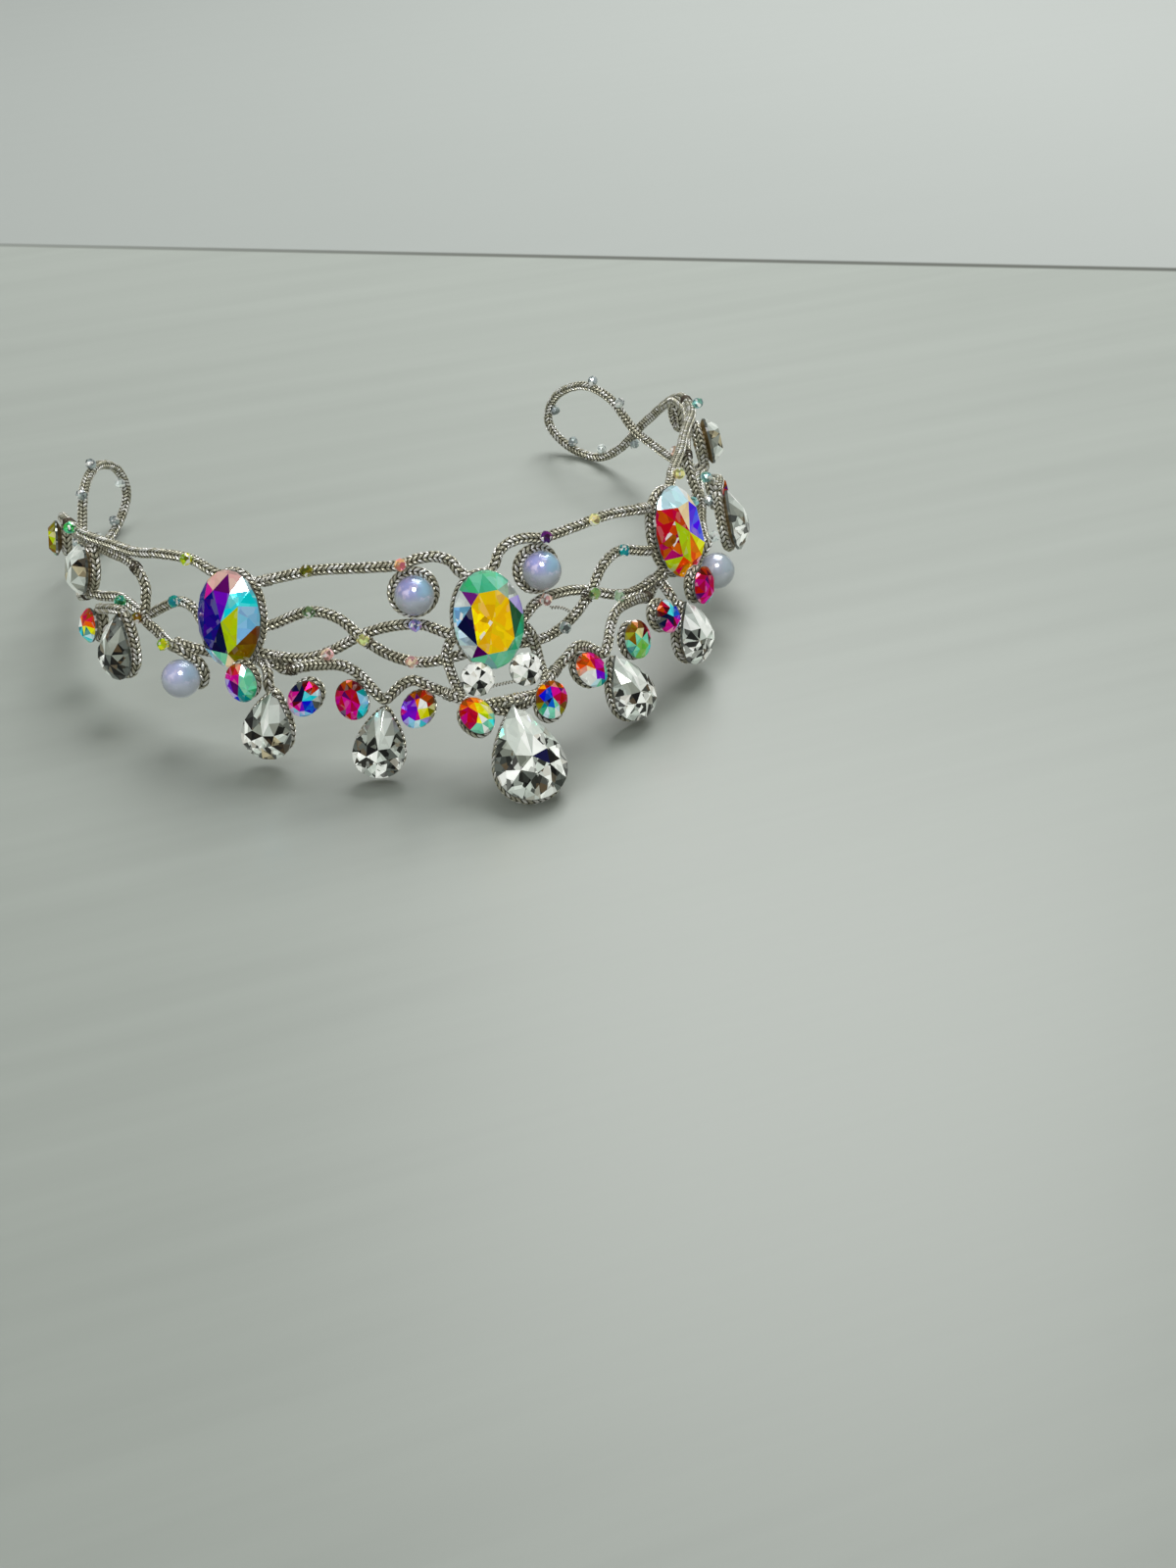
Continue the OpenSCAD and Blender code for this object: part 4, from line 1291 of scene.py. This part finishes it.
class TIARA_OT_rainbow_stones(bpy.types.Operator):
    """Build the rainbow-coated ovals, large and small"""

    bl_idname = "tiara.rainbow_stones"
    bl_label = "Rainbow stones"

    def execute(self, context):
        stones = context.scene.tiara_stones
        cut_glass("rainbow_cut_glass", stones, False)
        foil_back(stones)
        stone_piece("centre_oval", Seat(CENTRE_OVAL, 1), oval, LARGE, LARGE_CUT, "centre_oval", False, 1)
        seats = {}
        for name, side in SIDES.items():
            node = f"side_oval_{name}"
            stone_piece(node, Seat(SIDE_OVAL[name], side), oval, LARGE, LARGE_CUT, node, False, 2 + side)
            seats[f"small_oval_centre_{name}"] = Seat(CENTRE_PEAR, side, BESIDE_LARGE)
            for group in "ab":
                for place, hand in (("inner", -1), ("outer", 1)):
                    seat = Seat(PEARS[group][name], side, BESIDE_PEAR, hand)
                    seats[f"small_oval_{group}_{place}_{name}"] = seat
            seats[f"small_oval_c_{name}"] = Seat(SMALL_C, side)
            seats[f"small_oval_d_{name}"] = Seat(SMALL_D, side)
        for seed, (node, seat) in enumerate(seats.items()):
            stone_piece(node, seat, oval, SMALL, SMALL_CUT, STONE_CHARTS[node], False, 10 + seed)
        return {"FINISHED"}


class TIARA_OT_clear_stones(bpy.types.Operator):
    """Build the clear pears, the round stones and the clear ovals before the back ends"""

    bl_idname = "tiara.clear_stones"
    bl_label = "Clear stones"

    def execute(self, context):
        cut_glass("clear_cut_glass", context.scene.tiara_stones, True)
        stone_piece("centre_pear", Seat(CENTRE_PEAR, 1), drop, LARGE, DROP_CUT, "clear_large", True, 40)
        for name, side in SIDES.items():
            for seed, (group, seats) in enumerate(PEARS.items()):
                node = f"pear_{group}_{name}"
                stone_piece(node, Seat(seats[name], side), drop, PEAR, PEAR_CUT, STONE_CHARTS[node], True,
                            45 + 3 * side + seed)
            stone_piece(f"chaton_{name}", Seat(CHATON, side), oval, ROUND, SMALL_CUT, "clear_round", True,
                        50 + side)
            stone_piece(f"back_oval_{name}", Seat(BACK_OVAL, side), oval, BACK, BACK_CUT, "foiled", True,
                        55 + side)
        return {"FINISHED"}


class TIARA_OT_pearls(bpy.types.Operator):
    """Build the pearls, each a coloured core in a glass coat"""

    bl_idname = "tiara.pearls"
    bl_label = "Pearls"

    def execute(self, context):
        pearls = context.scene.tiara_pearls
        coat = pearl_coat()
        radius = pearls.diameter / 2 / MM
        for name, side in SIDES.items():
            for group, seat, milky in zip("ab", (PEARL_A, PEARL_B), MILKY[name]):
                centre = seat_point(seat, side, (0, 0, 0))
                blank = Blank()
                ball(blank, centre, radius, 0)
                ball(blank, centre, radius * pearls.core, 1)
                core = pearl_core(f"pearl_core_{group}_{name}", centre * MM, milky, MILK[name])
                blank.piece(f"pearl_{group}_{name}_glass", [coat, core], [f"pearl_{group}_{name}"], "pearl")
        return {"FINISHED"}


class TIARA_OT_beads(bpy.types.Operator):
    """Build the small faceted accent beads"""

    bl_idname = "tiara.beads"
    bl_label = "Accent beads"

    def execute(self, context):
        finish = bead_glass()
        blank = Blank()
        rows = len(BEAD_ALONG)
        flat = 360 / BEAD_FLATS
        c, s = turn(np.arange(BEAD_FLATS) * flat + np.arange(rows)[:, None] * flat / 2)
        along, reach = BEAD_ALONG[:, None], BEAD_REACH[:, None]
        base = np.stack([np.broadcast_to(along, c.shape), reach * c, reach * s], -1).reshape(-1, 3)
        quads = wrap(rows, BEAD_FLATS, False)
        tris = np.vstack([quads[:, [0, 1, 3]], quads[:, [1, 2, 3]]])
        ring = np.arange(BEAD_FLATS)
        ends = [ring[::-1], (rows - 1) * BEAD_FLATS + ring]
        for column, (name, side) in enumerate(SIDES.items(), 1):
            beads = [(bead[0], bead[column]) for bead in BEADS] + OWN_BEADS[name]
            wires = np.vstack(list(lattice_lines(side).values()))
            for centre, (place, hue) in zip(route_points([b[0] for b in beads], side), beads):
                near = wires[np.argmin(((wires - centre) ** 2).sum(1))]
                away = centre + (0, 0, BEAD_RISE) - near
                centre = near + BEAD_SEAT * away / np.linalg.norm(away)
                ca, sa = turn(side * place[0])
                tangent, outward = np.array([ca, sa, 0]), np.array([sa, -ca, 0])
                axes = np.array([tangent, outward, np.cross(tangent, outward)])
                blank.add(centre + base @ axes, tris, None, display(hue), 0, False)
                blank.more(ends, None, display(hue), 0, False)
        blank.piece("accent_bead_glass", [finish], ["accent_beads"], "accent_bead")
        return {"FINISHED"}


class TIARA_PT_panel(bpy.types.Panel):
    """The tiara's settings and steps"""

    bl_idname = "TIARA_PT_panel"
    bl_label = "Tiara"
    bl_space_type = "VIEW_3D"
    bl_region_type = "UI"
    bl_category = "Tiara"

    def draw(self, context):
        for name, kind in SETTINGS.items():
            box = self.layout.box()
            for key in kind.__annotations__:
                box.prop(getattr(context.scene, name), key)
        for step in STEPS:
            self.layout.operator(step.bl_idname)


SETTINGS = {"tiara_wire": TiaraWire, "tiara_stones": TiaraStones, "tiara_pearls": TiaraPearls,
            "tiara_stage": TiaraStage}
STEPS = [TIARA_OT_camera, TIARA_OT_stage, TIARA_OT_lattice, TIARA_OT_rings, TIARA_OT_rainbow_stones,
         TIARA_OT_clear_stones, TIARA_OT_pearls, TIARA_OT_beads]


def register():
    for kind in [*SETTINGS.values(), *STEPS, TIARA_PT_panel]:
        bpy.utils.register_class(kind)
    for name, kind in SETTINGS.items():
        setattr(bpy.types.Scene, name, PointerProperty(type=kind))


def unregister():
    for name in SETTINGS:
        delattr(bpy.types.Scene, name)
    for kind in reversed([*SETTINGS.values(), *STEPS, TIARA_PT_panel]):
        bpy.utils.unregister_class(kind)


def main():
    register()
    for step in STEPS:
        group, name = step.bl_idname.split(".")
        if getattr(getattr(bpy.ops, group), name)() != {"FINISHED"}:
            raise RuntimeError(f"{step.bl_label} did not finish")


if __name__ == "__main__":
    main()
